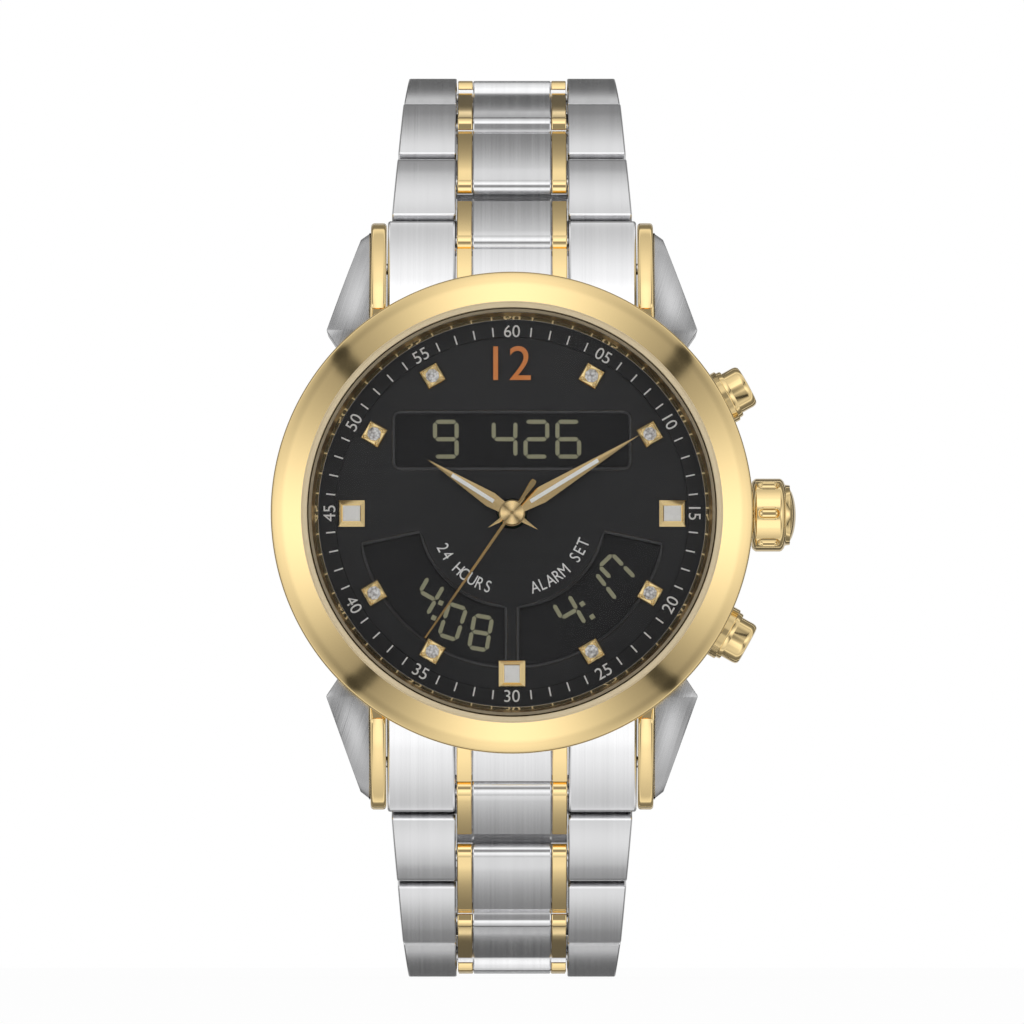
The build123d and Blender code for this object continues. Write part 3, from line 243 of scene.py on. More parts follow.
# ==================== Case middle ====================
# The steel case is turned and milled from one blank: a barrel with a brushed flank, and
# four lugs with brushed tops that slope down to the bracelet.

def brushed_steel(name, turn=(0, 0, 0), low=0.76, high=0.86, roughness=0.11):
    """Steel with fine brush marks along Z and Y, which vary across X before it is turned."""
    finish = Material(name, metallic=1.0)
    marks = finish.noise(finish.stretched((4600, 14, 14), turn), detail=3.0, roughness=0.6)
    broad = finish.noise(finish.stretched((1100, 25, 25), turn), detail=2.0)
    finish.feed("Base Color", finish.blend((marks * 0.6 + broad * 0.4).between(0.25, 0.75),
                                           (low, low, low * 1.01), (high, high, high * 1.01)))
    finish.feed("Roughness", roughness + marks * 0.10)
    finish.relief(marks, 0.000011)
    return finish.made


row_steel = brushed_steel("brushed_row_steel")
# Painted shade: the tongues and the end link's middle get a slightly darker copy of the rows' brushed steel
shaded_middle_steel = brushed_steel("painted_shade_brushed_middle", (0, 0, 0), 0.72, 0.82, 0.12)
# Painted shade: the lugs get a much darker copy of the same brushed steel, standing in for the shade on their
# sloping tops
shaded_lug_steel = brushed_steel("painted_shade_brushed_lug", (0, radians(-18), 0), 0.48, 0.60, 0.22)
edge_steel = Material("polished_steel", metallic=1.0,
                      base_color=(0.78, 0.78, 0.79)).worn(900, 3.0, 0.06, 0.06).made


def corner(bm, point, place=Matrix.Identity(4)):
    """A vertex at a point in millimetres, set down by a matrix."""
    return bm.verts.new(place @ (Vector(point) * mm))


def outline(bm, points, place=Matrix.Identity(4)):
    """A flat face from a list of points in millimetres, set down by a matrix."""
    return bm.faces.new([corner(bm, p, place) for p in points])


def thicken(bm, face, travel):
    """Pull a face out into a solid, by millimetres, and return the vertices of its far side."""
    far = bmesh.ops.extrude_face_region(bm, geom=[face])["geom"]
    moved = [v for v in far if isinstance(v, bmesh.types.BMVert)]
    bmesh.ops.translate(bm, verts=moved, vec=Vector(travel) * mm)
    bmesh.ops.recalc_face_normals(bm, faces=bm.faces)
    return moved


def spun(bm, profile, axis, steps, gap):
    """Spin a line of points in millimetres all the way round an axis."""
    line = [corner(bm, p) for p in profile]
    edges = [bm.edges.new(pair) for pair in zip(line, line[1:])]
    bmesh.ops.spin(bm, geom=line + edges, cent=(0, 0, 0), axis=axis, dvec=(0, 0, 0),
                   angle=2 * pi, steps=steps, use_merge=True)
    bmesh.ops.remove_doubles(bm, verts=bm.verts, dist=gap)
    bmesh.ops.recalc_face_normals(bm, faces=bm.faces)


def turned(bm, profile, steps=192):
    """Spin a closed profile of (radius, height) points round the dial's axis."""
    spun(bm, [(r, -h, 0) for r, h in profile + profile[:1]], (0, 1, 0), steps, 1e-7)


def round_edges(bm, width, segments=2, above=35.0, chosen=None):
    """Bevel, by millimetres, the edges sharper than an angle, or those that are chosen."""
    sharp = chosen or [e for e in bm.edges if len(e.link_faces) == 2
                       and degrees(e.calc_face_angle(0)) > above]
    bmesh.ops.bevel(bm, geom=sharp, offset=width * mm, offset_type="OFFSET", segments=segments,
                    profile=0.5, affect="EDGES", material=-1, clamp_overlap=True)


def shown(name, bm):
    """An object made of a mesh."""
    mesh = bpy.data.meshes.new(name)
    bm.to_mesh(mesh)
    bm.free()
    made = bpy.data.objects.new(name, mesh)
    scene.collection.objects.link(made)
    return made


def finished(name, bm, body, material, replaced=(), smooth=32.0):
    """Turn a mesh into a piece that rides on a body and finish."""
    for face in bm.faces:
        face.smooth = True
    for edge in bm.edges:
        edge.smooth = degrees(edge.calc_face_angle(0)) < smooth
    piece = shown(name, bm)
    piece.data.materials.append(material)
    if replaced:
        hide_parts(*replaced)
    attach(piece, body)


def mirrored(bm, *axes):
    """Add the mirror image of everything in the mesh, across one axis after another."""
    for axis in axes:
        copy = bmesh.ops.duplicate(bm, geom=bm.verts[:] + bm.edges[:] + bm.faces[:])["geom"]
        bmesh.ops.transform(bm, matrix=Matrix.Scale(-1, 4, axis),
                            verts=[g for g in copy if isinstance(g, bmesh.types.BMVert)])
        bmesh.ops.reverse_faces(bm, faces=[g for g in copy if isinstance(g, bmesh.types.BMFace)])


def levels(node):
    """Radius, back and front height of a round node, in millimetres."""
    low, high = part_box(node)
    return high.x / mm, -high.y / mm, -low.y / mm


across_x, across_z = (1, 0, 0), (0, 0, 1)
_, barrel_back, barrel_front = levels("case_middle")
barrel_radius, bore, flank_round = 19.9, 15.9, 0.7
seat_width, seat_depth = 1.0, 1.1
bm = bmesh.new()
turned(bm, [(bore, barrel_back), (barrel_radius - flank_round, barrel_back),
            (barrel_radius - 0.2, barrel_back + 0.3), (barrel_radius, barrel_back + flank_round),
            (barrel_radius, barrel_front), (bore + seat_width, barrel_front),
            (bore + seat_width, barrel_front - seat_depth), (bore, barrel_front - seat_depth)])
finished("case_barrel", bm, "case", edge_steel, ["case_middle"])

lug_inner_x, lug_outer_x, lug_root_z, lug_tip_z = 12.4, 16.2, 12.0, 24.85
lug_fall_z, lug_tip_height = 15.4, 4.0
lug_under = [(24.85, 2.5), (24.1, 1.95), (20.5, 1.26), (lug_root_z, 1.26)]
# Planes that the lug is milled to, each by a point and the direction that is cut away
lug_walls = [((16.2, 0, 15.95), (2.55, 0, -1.7)), ((16.2, 0, 15.95), (8.25, 0, 2.95)),
             ((13.25, 0, 24.2), (0.65, 0, 0.85))]
lug_drop = barrel_front - lug_tip_height
lug_run = lug_tip_z - lug_fall_z
lug_curve = (lug_run**2 + lug_drop**2) / (2 * lug_drop)
lug_bend = atan2(lug_run, lug_curve - lug_drop)
lug_top = [(lug_fall_z + lug_curve * sin(lug_bend * i / 16),
            barrel_front - lug_curve * (1 - cos(lug_bend * i / 16))) for i in range(17)]
bm = bmesh.new()
face = outline(bm, [(lug_inner_x, -h, z) for z, h in [(lug_root_z, barrel_front)] + lug_top + lug_under])
thicken(bm, face, (lug_outer_x + 0.2 - lug_inner_x, 0, 0))
for point, normal in lug_walls:
    cut = bmesh.ops.bisect_plane(bm, geom=bm.verts[:] + bm.edges[:] + bm.faces[:],
                                 plane_co=Vector(point) * mm, plane_no=normal, clear_outer=True)
    rim = [g for g in cut["geom_cut"] if isinstance(g, bmesh.types.BMEdge)]
    bmesh.ops.holes_fill(bm, edges=rim)
bmesh.ops.recalc_face_normals(bm, faces=bm.faces)
round_edges(bm, 0.14)
mirrored(bm, across_z, across_x)
finished("case_lugs", bm, "case", shaded_lug_steel)


# ==================== Bezel ====================
# The bezel is a turned ring with gilt plating: a polished cone outside, a fine matt step
# round the crystal and a polished cone inside, which mirrors the minute track.

gold_colour = (0.95, 0.725, 0.36)


def polished_gold(name, roughness=0.06, colour=gold_colour):
    """Gilt plating with faint wear."""
    return Material(name, metallic=1.0, base_color=colour).worn(700, 4.0, roughness, 0.05, coarse=0.6).made


gold = polished_gold("polished_gilt")
# Painted reflection: the inner cone's gilt is a browner copy of the bezel's gold, standing in for the dark
# minute track that it mirrors; it is also rougher
reflection_browned_gold = polished_gold("satin_gilt_painted_reflection", 0.26, (0.86, 0.56, 0.22))
matt_gold = Material("matt_gilt", metallic=1.0, base_color=(0.86, 0.74, 0.52)).worn(
    9000, 3.0, 0.55, 0.15, depth=0.00001).made
bezel_radius, bezel_back, bezel_front = levels("bezel")
cone_inner, step_inner, lip_outer, lip_inner = 18.35, 17.8, 17.5, 16.92
lip_height = bezel_back + 1.4
step_drop = 0.12
bm = bmesh.new()
turned(bm, [(lip_inner, bezel_back), (bezel_radius - 0.5, bezel_back),
            (bezel_radius - 0.1, bezel_back + 0.4), (bezel_radius, bezel_back + 0.8),
            (bezel_radius, bezel_back + 1.5), (bezel_radius - 0.06, bezel_back + 1.66),
            (bezel_radius - 0.2, bezel_back + 1.78),
            (cone_inner + 1.2, bezel_front - 0.36), (cone_inner, bezel_front)], 256)
finished("bezel_cone", bm, "case", gold, ["bezel"])
bm = bmesh.new()
turned(bm, [(cone_inner, bezel_front), (cone_inner - 0.06, bezel_front - 0.03),
            (cone_inner - 0.14, bezel_front - step_drop), (step_inner + 0.05, bezel_front - step_drop),
            (step_inner, bezel_front - step_drop - 0.05), (step_inner, lip_height),
            (cone_inner, lip_height)], 256)
finished("bezel_step", bm, "case", matt_gold)
bm = bmesh.new()
turned(bm, [(lip_inner, bezel_back - 0.3), (lip_outer, lip_height), (step_inner, lip_height),
            (step_inner, bezel_back - 0.3)], 256)
finished("bezel_inner_cone", bm, "case", reflection_browned_gold)


# ==================== Crystal and gaskets ====================
# The crystal is a flat mineral glass disc with a ground chamfer, pressed into an amber
# nylon ring in the bezel.  A second ring of the same nylon seals the case back.

glass = Material("clear_crystal", base_color=(0.02, 0.02, 0.02), ior=1.5, alpha=0.07).worn(
    300, 2.0, 0.02, 0.02).made
_, crystal_back, crystal_front = levels("crystal")
crystal_radius, crystal_middle = 17.45, 0.01
bm = bmesh.new()
turned(bm, [(crystal_middle, crystal_back), (crystal_radius, crystal_back),
            (crystal_radius, crystal_front - 0.25), (crystal_radius - 0.07, crystal_front - 0.08),
            (crystal_radius - 0.25, crystal_front), (crystal_middle, crystal_front)])
finished("crystal_disc", bm, "case", glass, ["crystal"])


def dressed(node, material):
    """Give a node that is shown as it is another finish."""
    nodes[node].data.materials.clear()
    nodes[node].data.materials.append(material)


dressed("gaskets", Material("amber_nylon", specular_ior_level=0.35).worn(
    2500, 4.0, 0.35, 0.2, ((0.20, 0.16, 0.10), (0.32, 0.26, 0.17))).made)


# ==================== Dial ====================
# The dial is a thin brass disc with a fine sunray brushing under black lacquer.  Three
# windows with bevelled rims are pressed through it for the liquid crystal panel.

def black_lacquer(name, low, high, roughness=0.32):
    """Black lacquer over brushing that runs across the dial, with painted light: lighter towards the top and
    darker towards the bottom.
    """
    finish = Material(name, metallic=0.35)
    marks = finish.noise(finish.stretched((160, 160, 3600)), detail=4.0, roughness=0.6)
    # Painted light: the colour grows lighter towards the top, as if lit from above; the dial, the window rims
    # and the chapter ring all carry it
    painted_top_light = finish.axis("Z").between(-0.016, 0.016)
    finish.feed("Base Color", finish.blend(marks * 0.5 + painted_top_light * 0.5, low, high))
    finish.feed("Roughness", roughness + 0.1 * marks)
    finish.relief(marks, 0.000006)
    return finish.made


dial_black = black_lacquer("brushed_black_dial", (0.010, 0.010, 0.011), (0.040, 0.040, 0.042))
# Painted highlight: the rims, pressed from the dial itself, get a lighter copy of its black lacquer, standing
# in for the light their bevels catch
painted_highlight_rim_black = black_lacquer("window_rim_painted_highlight_black", (0.03, 0.03, 0.032), (0.06, 0.06, 0.062), 0.2)
_, dial_back, dial_front = levels("dial")
plate_radius, arbor_hole, divider = 16.8, 1.35, 0.65


def on_dial(x, z, height):
    """A point in millimetres above the dial, from its distances across and up."""
    return (x, -height, z)


def arc(radius, start, end, steps):
    """Points of an arc in the dial's plane, angles in degrees clockwise from 12."""
    return [(radius * sin(radians(start + (end - start) * i / steps)),
             radius * cos(radians(start + (end - start) * i / steps))) for i in range(steps + 1)]


def bent(before, here, after, steps):
    """Points of a small bend from one side of a corner to the other."""
    return [tuple(before.lerp(here, i / steps).lerp(here.lerp(after, i / steps), i / steps))
            for i in range(steps + 1)]


def rounded(points, radius):
    """The same outline with each corner rounded off by a small bend."""
    result = []
    for i in range(len(points)):
        before, here, after = (Vector(points[(i + k) % len(points)]) for k in (-1, 0, 1))
        result += bent(here - (here - before).normalized() * radius, here,
                       here + (after - here).normalized() * radius, 5)
    return result


def lower_window(side):
    """Outline of a lower window: a quarter ring from the 3-9 line to the middle bar."""
    inner, outer, top = 8.25, 13.3, 102.0
    inner_end, outer_end = (180 - degrees(atan2(divider, radius)) for radius in (inner, outer))
    points = arc(outer, top, outer_end, 28) + arc(inner, inner_end, top, 22)
    return [(side * x, z) for x, z in points]


upper_window = rounded([(-10.2, 4.05), (-10.2, 8.75), (10.2, 8.75), (10.2, 4.05)], 0.55)
windows = [upper_window, lower_window(1), lower_window(-1)]
bm = bmesh.new()
bmesh.ops.create_circle(bm, cap_ends=True, radius=plate_radius * mm, segments=160,
                        matrix=Matrix.Translation((0, -dial_front * mm, 0)) @ Matrix.Rotation(pi / 2, 4, "X"))
thicken(bm, bm.faces[:][0], (0, dial_front - dial_back, 0))
plate = shown("dial_plate", bm)
bpy.context.view_layer.objects.active = plate
for points in windows + [arc(arbor_hole, 0, 360, 47)[:-1]]:
    bm = bmesh.new()
    thicken(bm, outline(bm, [on_dial(x, z, dial_front + 1) for x, z in points]), (0, 2.4, 0))
    cutter = shown("window_cutter", bm)
    cut = plate.modifiers.new("window", "BOOLEAN")
    cut.operation = "DIFFERENCE"
    cut.solver = "EXACT"
    cut.object = cutter
    bpy.ops.object.modifier_apply(modifier=cut.name)
    bpy.data.objects.remove(cutter)
for polygon in plate.data.polygons:
    polygon.use_smooth = False
plate.data.materials.append(dial_black)
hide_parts("dial")
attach(plate, "case")


def skinned(bm, loops, capped=True):
    """Walls between loops of vertices, one after another, and a face on each end."""
    for first, second in zip(loops, loops[1:]):
        for i in range(len(first)):
            bm.faces.new((first[i - 1], first[i], second[i], second[i - 1]))
    if capped:
        bm.faces.new(loops[-1])
        bm.faces.new(loops[0])
    bmesh.ops.recalc_face_normals(bm, faces=bm.faces)


# Bevelled rims round the windows, by distance outwards and height over the dial
rim_profile = [(0.30, 0), (0.22, 0.07), (0.0, -0.03), (-0.12, -0.3)]
bm = bmesh.new()
for points, outwards in zip(windows, (1, 1, -1)):
    rows = []
    for push, rise in rim_profile:
        row = []
        for i, p in enumerate(points):
            along = (Vector(points[(i + 1) % len(points)]) - Vector(points[i - 1])).normalized()
            x, z = Vector(p) + Vector((-along.y, along.x)) * outwards * push
            row.append(corner(bm, on_dial(x, z, dial_front + rise)))
        rows.append(row)
    skinned(bm, rows, capped=False)
finished("window_rims", bm, "case", painted_highlight_rim_black)


# ==================== Liquid crystal panel ====================
# One dark negative panel shows through all three windows; its lit segments are pale
# olive.  The upper window gives numbers, the lower two give times, tilted with the dial.

dressed("lcd_panel", Material("lcd_black", base_color=(0.010, 0.010, 0.011)).worn(
    500, 2.0, 0.18, 0.08).made)
segment_olive = Material("lcd_segment", specular_ior_level=0.3, roughness=0.4).worn(
    4000, 2.0, colours=((0.29, 0.285, 0.175), (0.39, 0.38, 0.25))).made
digit_bars = {"0": "abcdef", "1": "bc", "2": "abged", "4": "fgbc", "6": "afgecd", "7": "fabc",
              "8": "abcdefg", "9": "abcfgd"}
segment_height = dial_back + 0.02
film = 0.015                            # thickness of a bar and of printing
bar, colon_point = 0.36, 0.42
upper_size, lower_size = (2.25, 3.4), (1.9, 3.2)        # a digit's width and height
# Where each sign stands, in pixels of the front view, and its tilt in degrees
centre_pixel, upper_line = (512.5, 511.5), 436.5
upper_digits = [("9", 446), ("4", 505), ("2", 537), ("6", 569)]
lower_digits = [("4", 428, 594, 30), ("0", 453, 620, 18), ("8", 481, 631, 10),
                ("4", 570, 612, -30), ("1", 600, 590, -38), ("7", 618, 570, -44)]
colon_points = [(441, 601, 24), (434, 616, 24), (583, 602, -34), (593, 615, -34)]


def lcd_place(x, y, tilt):
    """Matrix of a sign tilted clockwise by degrees, its centre given in pixels of the front view."""
    across = (x - centre_pixel[0]) / pixels_per_mm
    up = (centre_pixel[1] - y) / pixels_per_mm
    return (Matrix.Translation(Vector(on_dial(across, up, segment_height)) * mm)
            @ Matrix.Rotation(radians(tilt), 4, "Y"))


def digit(bm, sign, width, height, place):
    """A seven-bar digit; each bar is a thin hexagon."""
    w, h, gap = width / 2 - bar / 2, height / 2 - bar / 2, bar * 0.12
    ends = {"a": ((-w, h), (w, h)), "b": ((w, h), (w, 0)), "c": ((w, 0), (w, -h)),
            "d": ((-w, -h), (w, -h)), "e": ((-w, 0), (-w, -h)), "f": ((-w, h), (-w, 0)),
            "g": ((-w, 0), (w, 0))}
    for name in digit_bars[sign]:
        start, end = (Vector(p) for p in ends[name])
        along = (end - start).normalized()
        start, end = start + along * gap, end - along * gap
        tip, across = along * bar / 2, Vector((-along.y, along.x)) * bar / 2
        hexagon = [start, start + tip + across, end - tip + across, end, end - tip - across,
                   start + tip - across]
        thicken(bm, outline(bm, [(p.x, 0, p.y) for p in hexagon], place), (0, -film, 0))


bm = bmesh.new()
for sign, x in upper_digits:
    digit(bm, sign, *upper_size, lcd_place(x, upper_line, 0))
for sign, *where in lower_digits:
    digit(bm, sign, *lower_size, lcd_place(*where))
half = colon_point / 2
for where in colon_points:
    face = outline(bm, [(-half, 0, -half), (half, 0, -half), (half, 0, half), (-half, 0, half)],
                   lcd_place(*where))
    thicken(bm, face, (0, -film, 0))
finished("lcd_digits", bm, "case", segment_olive)


# ==================== Chapter ring and printing ====================
# The chapter ring is a flat black flange round the dial.  Its minute strokes and numbers,
# and two curved lines of lettering on the dial, are pad printed in white.

ring_inner, ring_outer = 15.4, lip_inner + 0.02
ring_foot, ring_top = dial_front - 0.02, dial_front + 0.3
ring_black = black_lacquer("chapter_black", (0.008, 0.008, 0.009), (0.030, 0.030, 0.032))
bm = bmesh.new()
turned(bm, [(ring_inner, ring_foot), (ring_inner, ring_top - 0.05), (ring_inner + 0.05, ring_top),
            (ring_outer, ring_top), (ring_outer, ring_foot)])
finished("minute_flange", bm, "case", ring_black, ["chapter_ring"])

white_print = Material("white_print", specular_ior_level=0.3, roughness=0.5).worn(
    6000, 2.0, colours=((0.72, 0.72, 0.71), (0.88, 0.88, 0.87))).made
stroke_inner, stroke_outer, stroke_half = 15.5, 16.3, 0.06
bm = bmesh.new()
for minute in range(60):
    if minute % 5:
        corners = [(-stroke_half, stroke_inner), (stroke_half, stroke_inner),
                   (stroke_half, stroke_outer), (-stroke_half, stroke_outer)]
        face = outline(bm, [on_dial(x, z, ring_top) for x, z in corners],
                       Matrix.Rotation(radians(6 * minute), 4, "Y"))
        thicken(bm, face, (0, -film, 0))
finished("minute_strokes", bm, "case", white_print)


def printed(bm, text, height, radius, angle, surface, turn=0.0, squeeze=1.0):
    """A word on a level face at a clock angle, its top outwards unless it is turned."""
    curve = bpy.data.curves.new("letters", "FONT")
    curve.body = text
    curve.size = height / 0.70
    curve.align_x = "CENTER"
    curve.extrude = 0.008
    holder = bpy.data.objects.new("letters", curve)
    scene.collection.objects.link(holder)
    bpy.context.view_layer.update()
    mesh = bpy.data.meshes.new_from_object(holder.evaluated_get(bpy.context.evaluated_depsgraph_get()))
    bpy.data.objects.remove(holder)
    middle = [(min(v.co[i] for v in mesh.vertices) + max(v.co[i] for v in mesh.vertices)) / 2
              for i in (0, 1)]
    mesh.transform(Matrix.Rotation(radians(angle), 4, "Y")
                   @ Matrix.Translation((0, -surface * mm, radius * mm))
                   @ Matrix.Rotation(radians(turn), 4, "Y") @ Matrix.Rotation(pi / 2, 4, "X")
                   @ Matrix.Scale(mm, 4) @ Matrix.Diagonal((squeeze, 1, 1, 1))
                   @ Matrix.Translation((-middle[0], -middle[1], 0)))
    bm.from_mesh(mesh)
    bpy.data.meshes.remove(mesh)


letter_height, number_radius, word_radius, letter_squeeze = 1.05, 15.93, 6.7, 0.78
bm = bmesh.new()
for minute in range(5, 65, 5):
    upside_down = 180 if 15 < minute < 45 else 0
    printed(bm, f"{minute:02d}", letter_height, number_radius, 6 * minute, ring_top, upside_down)
# Each line's middle and the step between its letters, in degrees
for text, middle_angle, step in (("24 HOURS", 221, 6.5), ("ALARM SET", 137.5, 6.3)):
    for place, letter in enumerate(text):
        if letter != " ":
            angle = middle_angle - step * (place - (len(text) - 1) / 2)
            printed(bm, letter, letter_height, word_radius, angle, dial_front, 180, letter_squeeze)
finished("white_numbers", bm, "case", white_print)

# An applied orange 12 stands under the top of the track
twelve_height, twelve_radius, twelve_front = 3.0, 13.15, dial_front + 0.35
orange = Material("orange_enamel", specular_ior_level=0.6, coat_weight=0.5).worn(
    700, 3.0, 0.25, 0.1, ((0.72, 0.20, 0.03), (0.86, 0.30, 0.06))).made
bm = bmesh.new()
printed(bm, "12", twelve_height, twelve_radius, 0, dial_front)
face_front = min(v.co.y for v in bm.verts)
for v in bm.verts:
    if v.co.y < face_front + 0.004 * mm:
        v.co.y = -twelve_front * mm
bmesh.ops.remove_doubles(bm, verts=bm.verts, dist=1e-6)
bmesh.ops.recalc_face_normals(bm, faces=bm.faces)
round_edges(bm, 0.07, 2, 50)
finished("orange_12", bm, "case", orange)


# ==================== Hour markers ====================
# The markers are pinned to the dial: three gilt frames with mitred bevels round white
# enamel, and eight small gilt squares with a cut stone between four beads.

baton_hours, baton_radius = (3, 6, 9), 14.0
stone_hours, stone_radius = (1, 2, 4, 5, 7, 8, 10, 11), 13.9
baton_half, inlay_half_x, inlay_half_z = 1.15, 0.68, 0.76
stone_seat = [(0.875, 0), (0.875, 0.3), (0.80, 0.38), (0.62, 0.30)]     # half width and height
bead_radius, bead_off, bead_height = 0.17, 0.60, 0.32


def clock_place(hour, radius):
    """Matrix that carries a shape from 12 to an hour, at a radius on the dial."""
    return (Matrix.Rotation(radians(30 * hour), 4, "Y")
            @ Matrix.Translation(Vector(on_dial(0, radius, dial_front)) * mm))


def frustum(bm, place, rings):
    """Stacked rectangles of (half width, half length, height), joined and closed."""
    skinned(bm, [[corner(bm, (x * half_x, -height, z * half_z), place)
                  for x, z in ((-1, -1), (1, -1), (1, 1), (-1, 1))] for half_x, half_z, height in rings])


bm = bmesh.new()
for hour in baton_hours:
    frustum(bm, clock_place(hour, baton_radius),
            [(baton_half, baton_half, 0), (baton_half, baton_half, 0.16),
             (inlay_half_x + 0.05, inlay_half_z + 0.05, 0.45), (inlay_half_x, inlay_half_z, 0.42),
             (inlay_half_x, inlay_half_z, 0.25)])
for hour in stone_hours:
    place = clock_place(hour, stone_radius)
    frustum(bm, place, [(half, half, height) for half, height in stone_seat])
    for x in (-bead_off, bead_off):
        for z in (-bead_off, bead_off):
            spot = place @ Matrix.Translation(Vector((x, -bead_height, z)) * mm)
            bmesh.ops.create_icosphere(bm, subdivisions=2, radius=bead_radius * mm, matrix=spot)
finished("gilt_markers", bm, "case", gold, ["hour_markers"])

enamel = Material("white_enamel", coat_weight=0.2).worn(
    900, 2.0, 0.22, 0.1, ((0.93, 0.92, 0.89), (0.98, 0.98, 0.96))).made
bm = bmesh.new()
for hour in baton_hours:
    frustum(bm, clock_place(hour, baton_radius),
            [(inlay_half_x, inlay_half_z, 0.2), (inlay_half_x, inlay_half_z, 0.37),
             (inlay_half_x - 0.06, inlay_half_z - 0.06, 0.41)])
finished("enamel_inlays", bm, "case", enamel, ["marker_inlays"])

# A cut stone: a table, a ring of star facets and a girdle, by radius, height and turn
stone_rings = [(0.60, 0.30, 0), (0.60, 0.36, 0), (0.44, 0.48, 22.5), (0.30, 0.54, 0)]
stone = Material("cut_stone", roughness=0.05, ior=2.0)
# Painted sparkle: patches of white and dark grey in the stone's colour stand in for the glints and dark
# facets that it reflects
painted_sparkle = stone.node("ShaderNodeTexVoronoi", None, {"Vector": stone.place(), "Scale": 3800.0},
                  out="Distance")
stone.feed("Base Color", stone.blend(painted_sparkle.between(0.25, 0.85), (1.0, 1.0, 1.0), (0.28, 0.26, 0.25)))
bm = bmesh.new()
for hour in stone_hours:
    place = clock_place(hour, stone_radius)
    skinned(bm, [[corner(bm, (radius * sin(radians(45 * i + turn)), -height,
                              radius * cos(radians(45 * i + turn))), place) for i in range(8)]
                 for radius, height, turn in stone_rings])
finished("cut_stones", bm, "case", stone.made, ["marker_stones"], smooth=1.0)


# ==================== Hands ====================
# The hour and minute hands are gilt brass, stamped to a ridge, with a strip of white lume
# in a slot.  The seconds hand is a fine needle with a flared tail.  Each is on its pipe.

hand_gold = polished_gold("hand_gilt", 0.12, (0.84, 0.62, 0.31))
lume = Material("white_lume", roughness=0.7).worn(
    5000, 2.0, colours=((0.90, 0.90, 0.87), (0.97, 0.97, 0.94))).made
# Heights over a hand's back: its rim, its ridge, and the ridge's end near the tip
edge, ridge, near_tip, near_share = 0.06, 0.30, 0.12, 0.96
lume_half, lume_rise, lume_thick = 0.165, 0.015, 0.1


def rod(bm, radius, length, place, segments=24):
    """A round rod along the Z axis of a place."""
    bmesh.ops.create_cone(bm, cap_ends=True, segments=segments, radius1=radius * mm,
                          radius2=radius * mm, depth=length * mm, matrix=place)


def post(bm, radius, low, high, place):
    """A round post along the dial's axis, from one height to another."""
    rod(bm, radius, high - low, place @ Matrix.Translation((0, -(low + high) / 2 * mm, 0))
        @ Matrix.Rotation(pi / 2, 4, "X"), 48)


def pointed_hand(name, node, angle, height, length, widest, width, tail, slot, hub):
    """A ridged hand, drawn at 12 and turned to its place, with its strip of lume."""
    place = Matrix.Rotation(radians(angle), 4, "Y")
    bm = bmesh.new()
    corners = [(0, length), (width / 2, widest), (0, -tail), (-width / 2, widest)]
    lower, rim = ([corner(bm, on_dial(x, z, height + rise), place) for x, z in corners]
                  for rise in (0, edge))
    crest = corner(bm, on_dial(0, widest, height + ridge), place)
    near = corner(bm, on_dial(0, length * near_share, height + near_tip), place)
    bm.faces.new(lower)
    for i in range(4):
        bm.faces.new((lower[i - 1], lower[i], rim[i], rim[i - 1]))
    for facet in ((rim[0], rim[1], crest, near), (rim[1], rim[2], crest), (rim[2], rim[3], crest),
                  (rim[3], rim[0], near, crest)):
        bm.faces.new(facet)
    bmesh.ops.recalc_face_normals(bm, faces=bm.faces)
    post(bm, hub, height - 0.06, height + 0.31, place)
    post(bm, hub - 0.2, dial_back - 1.2, height, place)
    finished(name, bm, node, hand_gold, [node], smooth=12.0)
    slope = (ridge - near_tip) / (length * near_share - widest)
    bm = bmesh.new()
    skinned(bm, [[corner(bm, on_dial(x, z, height + ridge - fall + rise), place)
                  for x, rise in ((-lume_half, lume_rise), (lume_half, lume_rise),
                                  (lume_half, lume_rise - lume_thick),
                                  (-lume_half, lume_rise - lume_thick))]
                 for z, fall in ((slot[0], 0), (widest, 0), (slot[1], slope * (slot[1] - widest)))])
    finished(name + "_lume", bm, node, lume)


pointed_hand("hour_pointer", "hour_hand", angle=302.4, height=8.4, length=8.75, widest=2.2,
             width=1.35, tail=2.7, slot=(1.9, 6.2), hub=1.15)
pointed_hand("minute_pointer", "minute_hand", angle=58.5, height=8.85, length=13.0, widest=3.0,
             width=1.47, tail=2.5, slot=(1.9, 8.8), hub=0.9)

seconds_angle, seconds_height, cap_radius, cap_hole = 214.7, 9.3, 1.02, 0.15
needle = [(0.06, 13.3), (0.13, 0.6), (0.15, 0), (0.11, -1.0), (0.13, -1.5), (0.26, -3.2), (0.2, -3.46)]
bm = bmesh.new()
face = outline(bm, [on_dial(x, z, seconds_height) for x, z in needle + [(-x, z) for x, z in needle[::-1]]],
               Matrix.Rotation(radians(seconds_angle), 4, "Y"))
thicken(bm, face, (0, -0.14, 0))
round_edges(bm, 0.03, 1, 60)
turned(bm, [(cap_hole, seconds_height), (cap_radius, seconds_height), (cap_radius, seconds_height + 0.16),
            (cap_radius - 0.07, seconds_height + 0.20), (cap_hole, seconds_height + 0.31)], 64)
post(bm, 0.35, dial_back - 1.6, seconds_height + 0.1, Matrix.Identity(4))
finished("seconds_needle", bm, "seconds_hand", hand_gold, ["seconds_hand"])


# ==================== Lug bars ====================
# A half-round gilt bar lies in the step between each lug and the end link, and follows
# the slope of the lug down to its own rounded tip.

bar_inner_x, bar_outer_x, bar_round = 11.0, 12.38, 0.28
bar_foot, bar_root, bar_fall = 2.2, 16.0, 17.9


def bulged(start, end, bulge, steps):
    """Points of a shallow arc between two points, standing out to its left."""
    start, end = Vector(start), Vector(end)
    across = (end - start).normalized()
    out = Vector((-across.y, across.x)) * bulge
    return [tuple(start.lerp(end, i / steps) + out * (1 - (2 * i / steps - 1)**2))
            for i in range(steps + 1)]


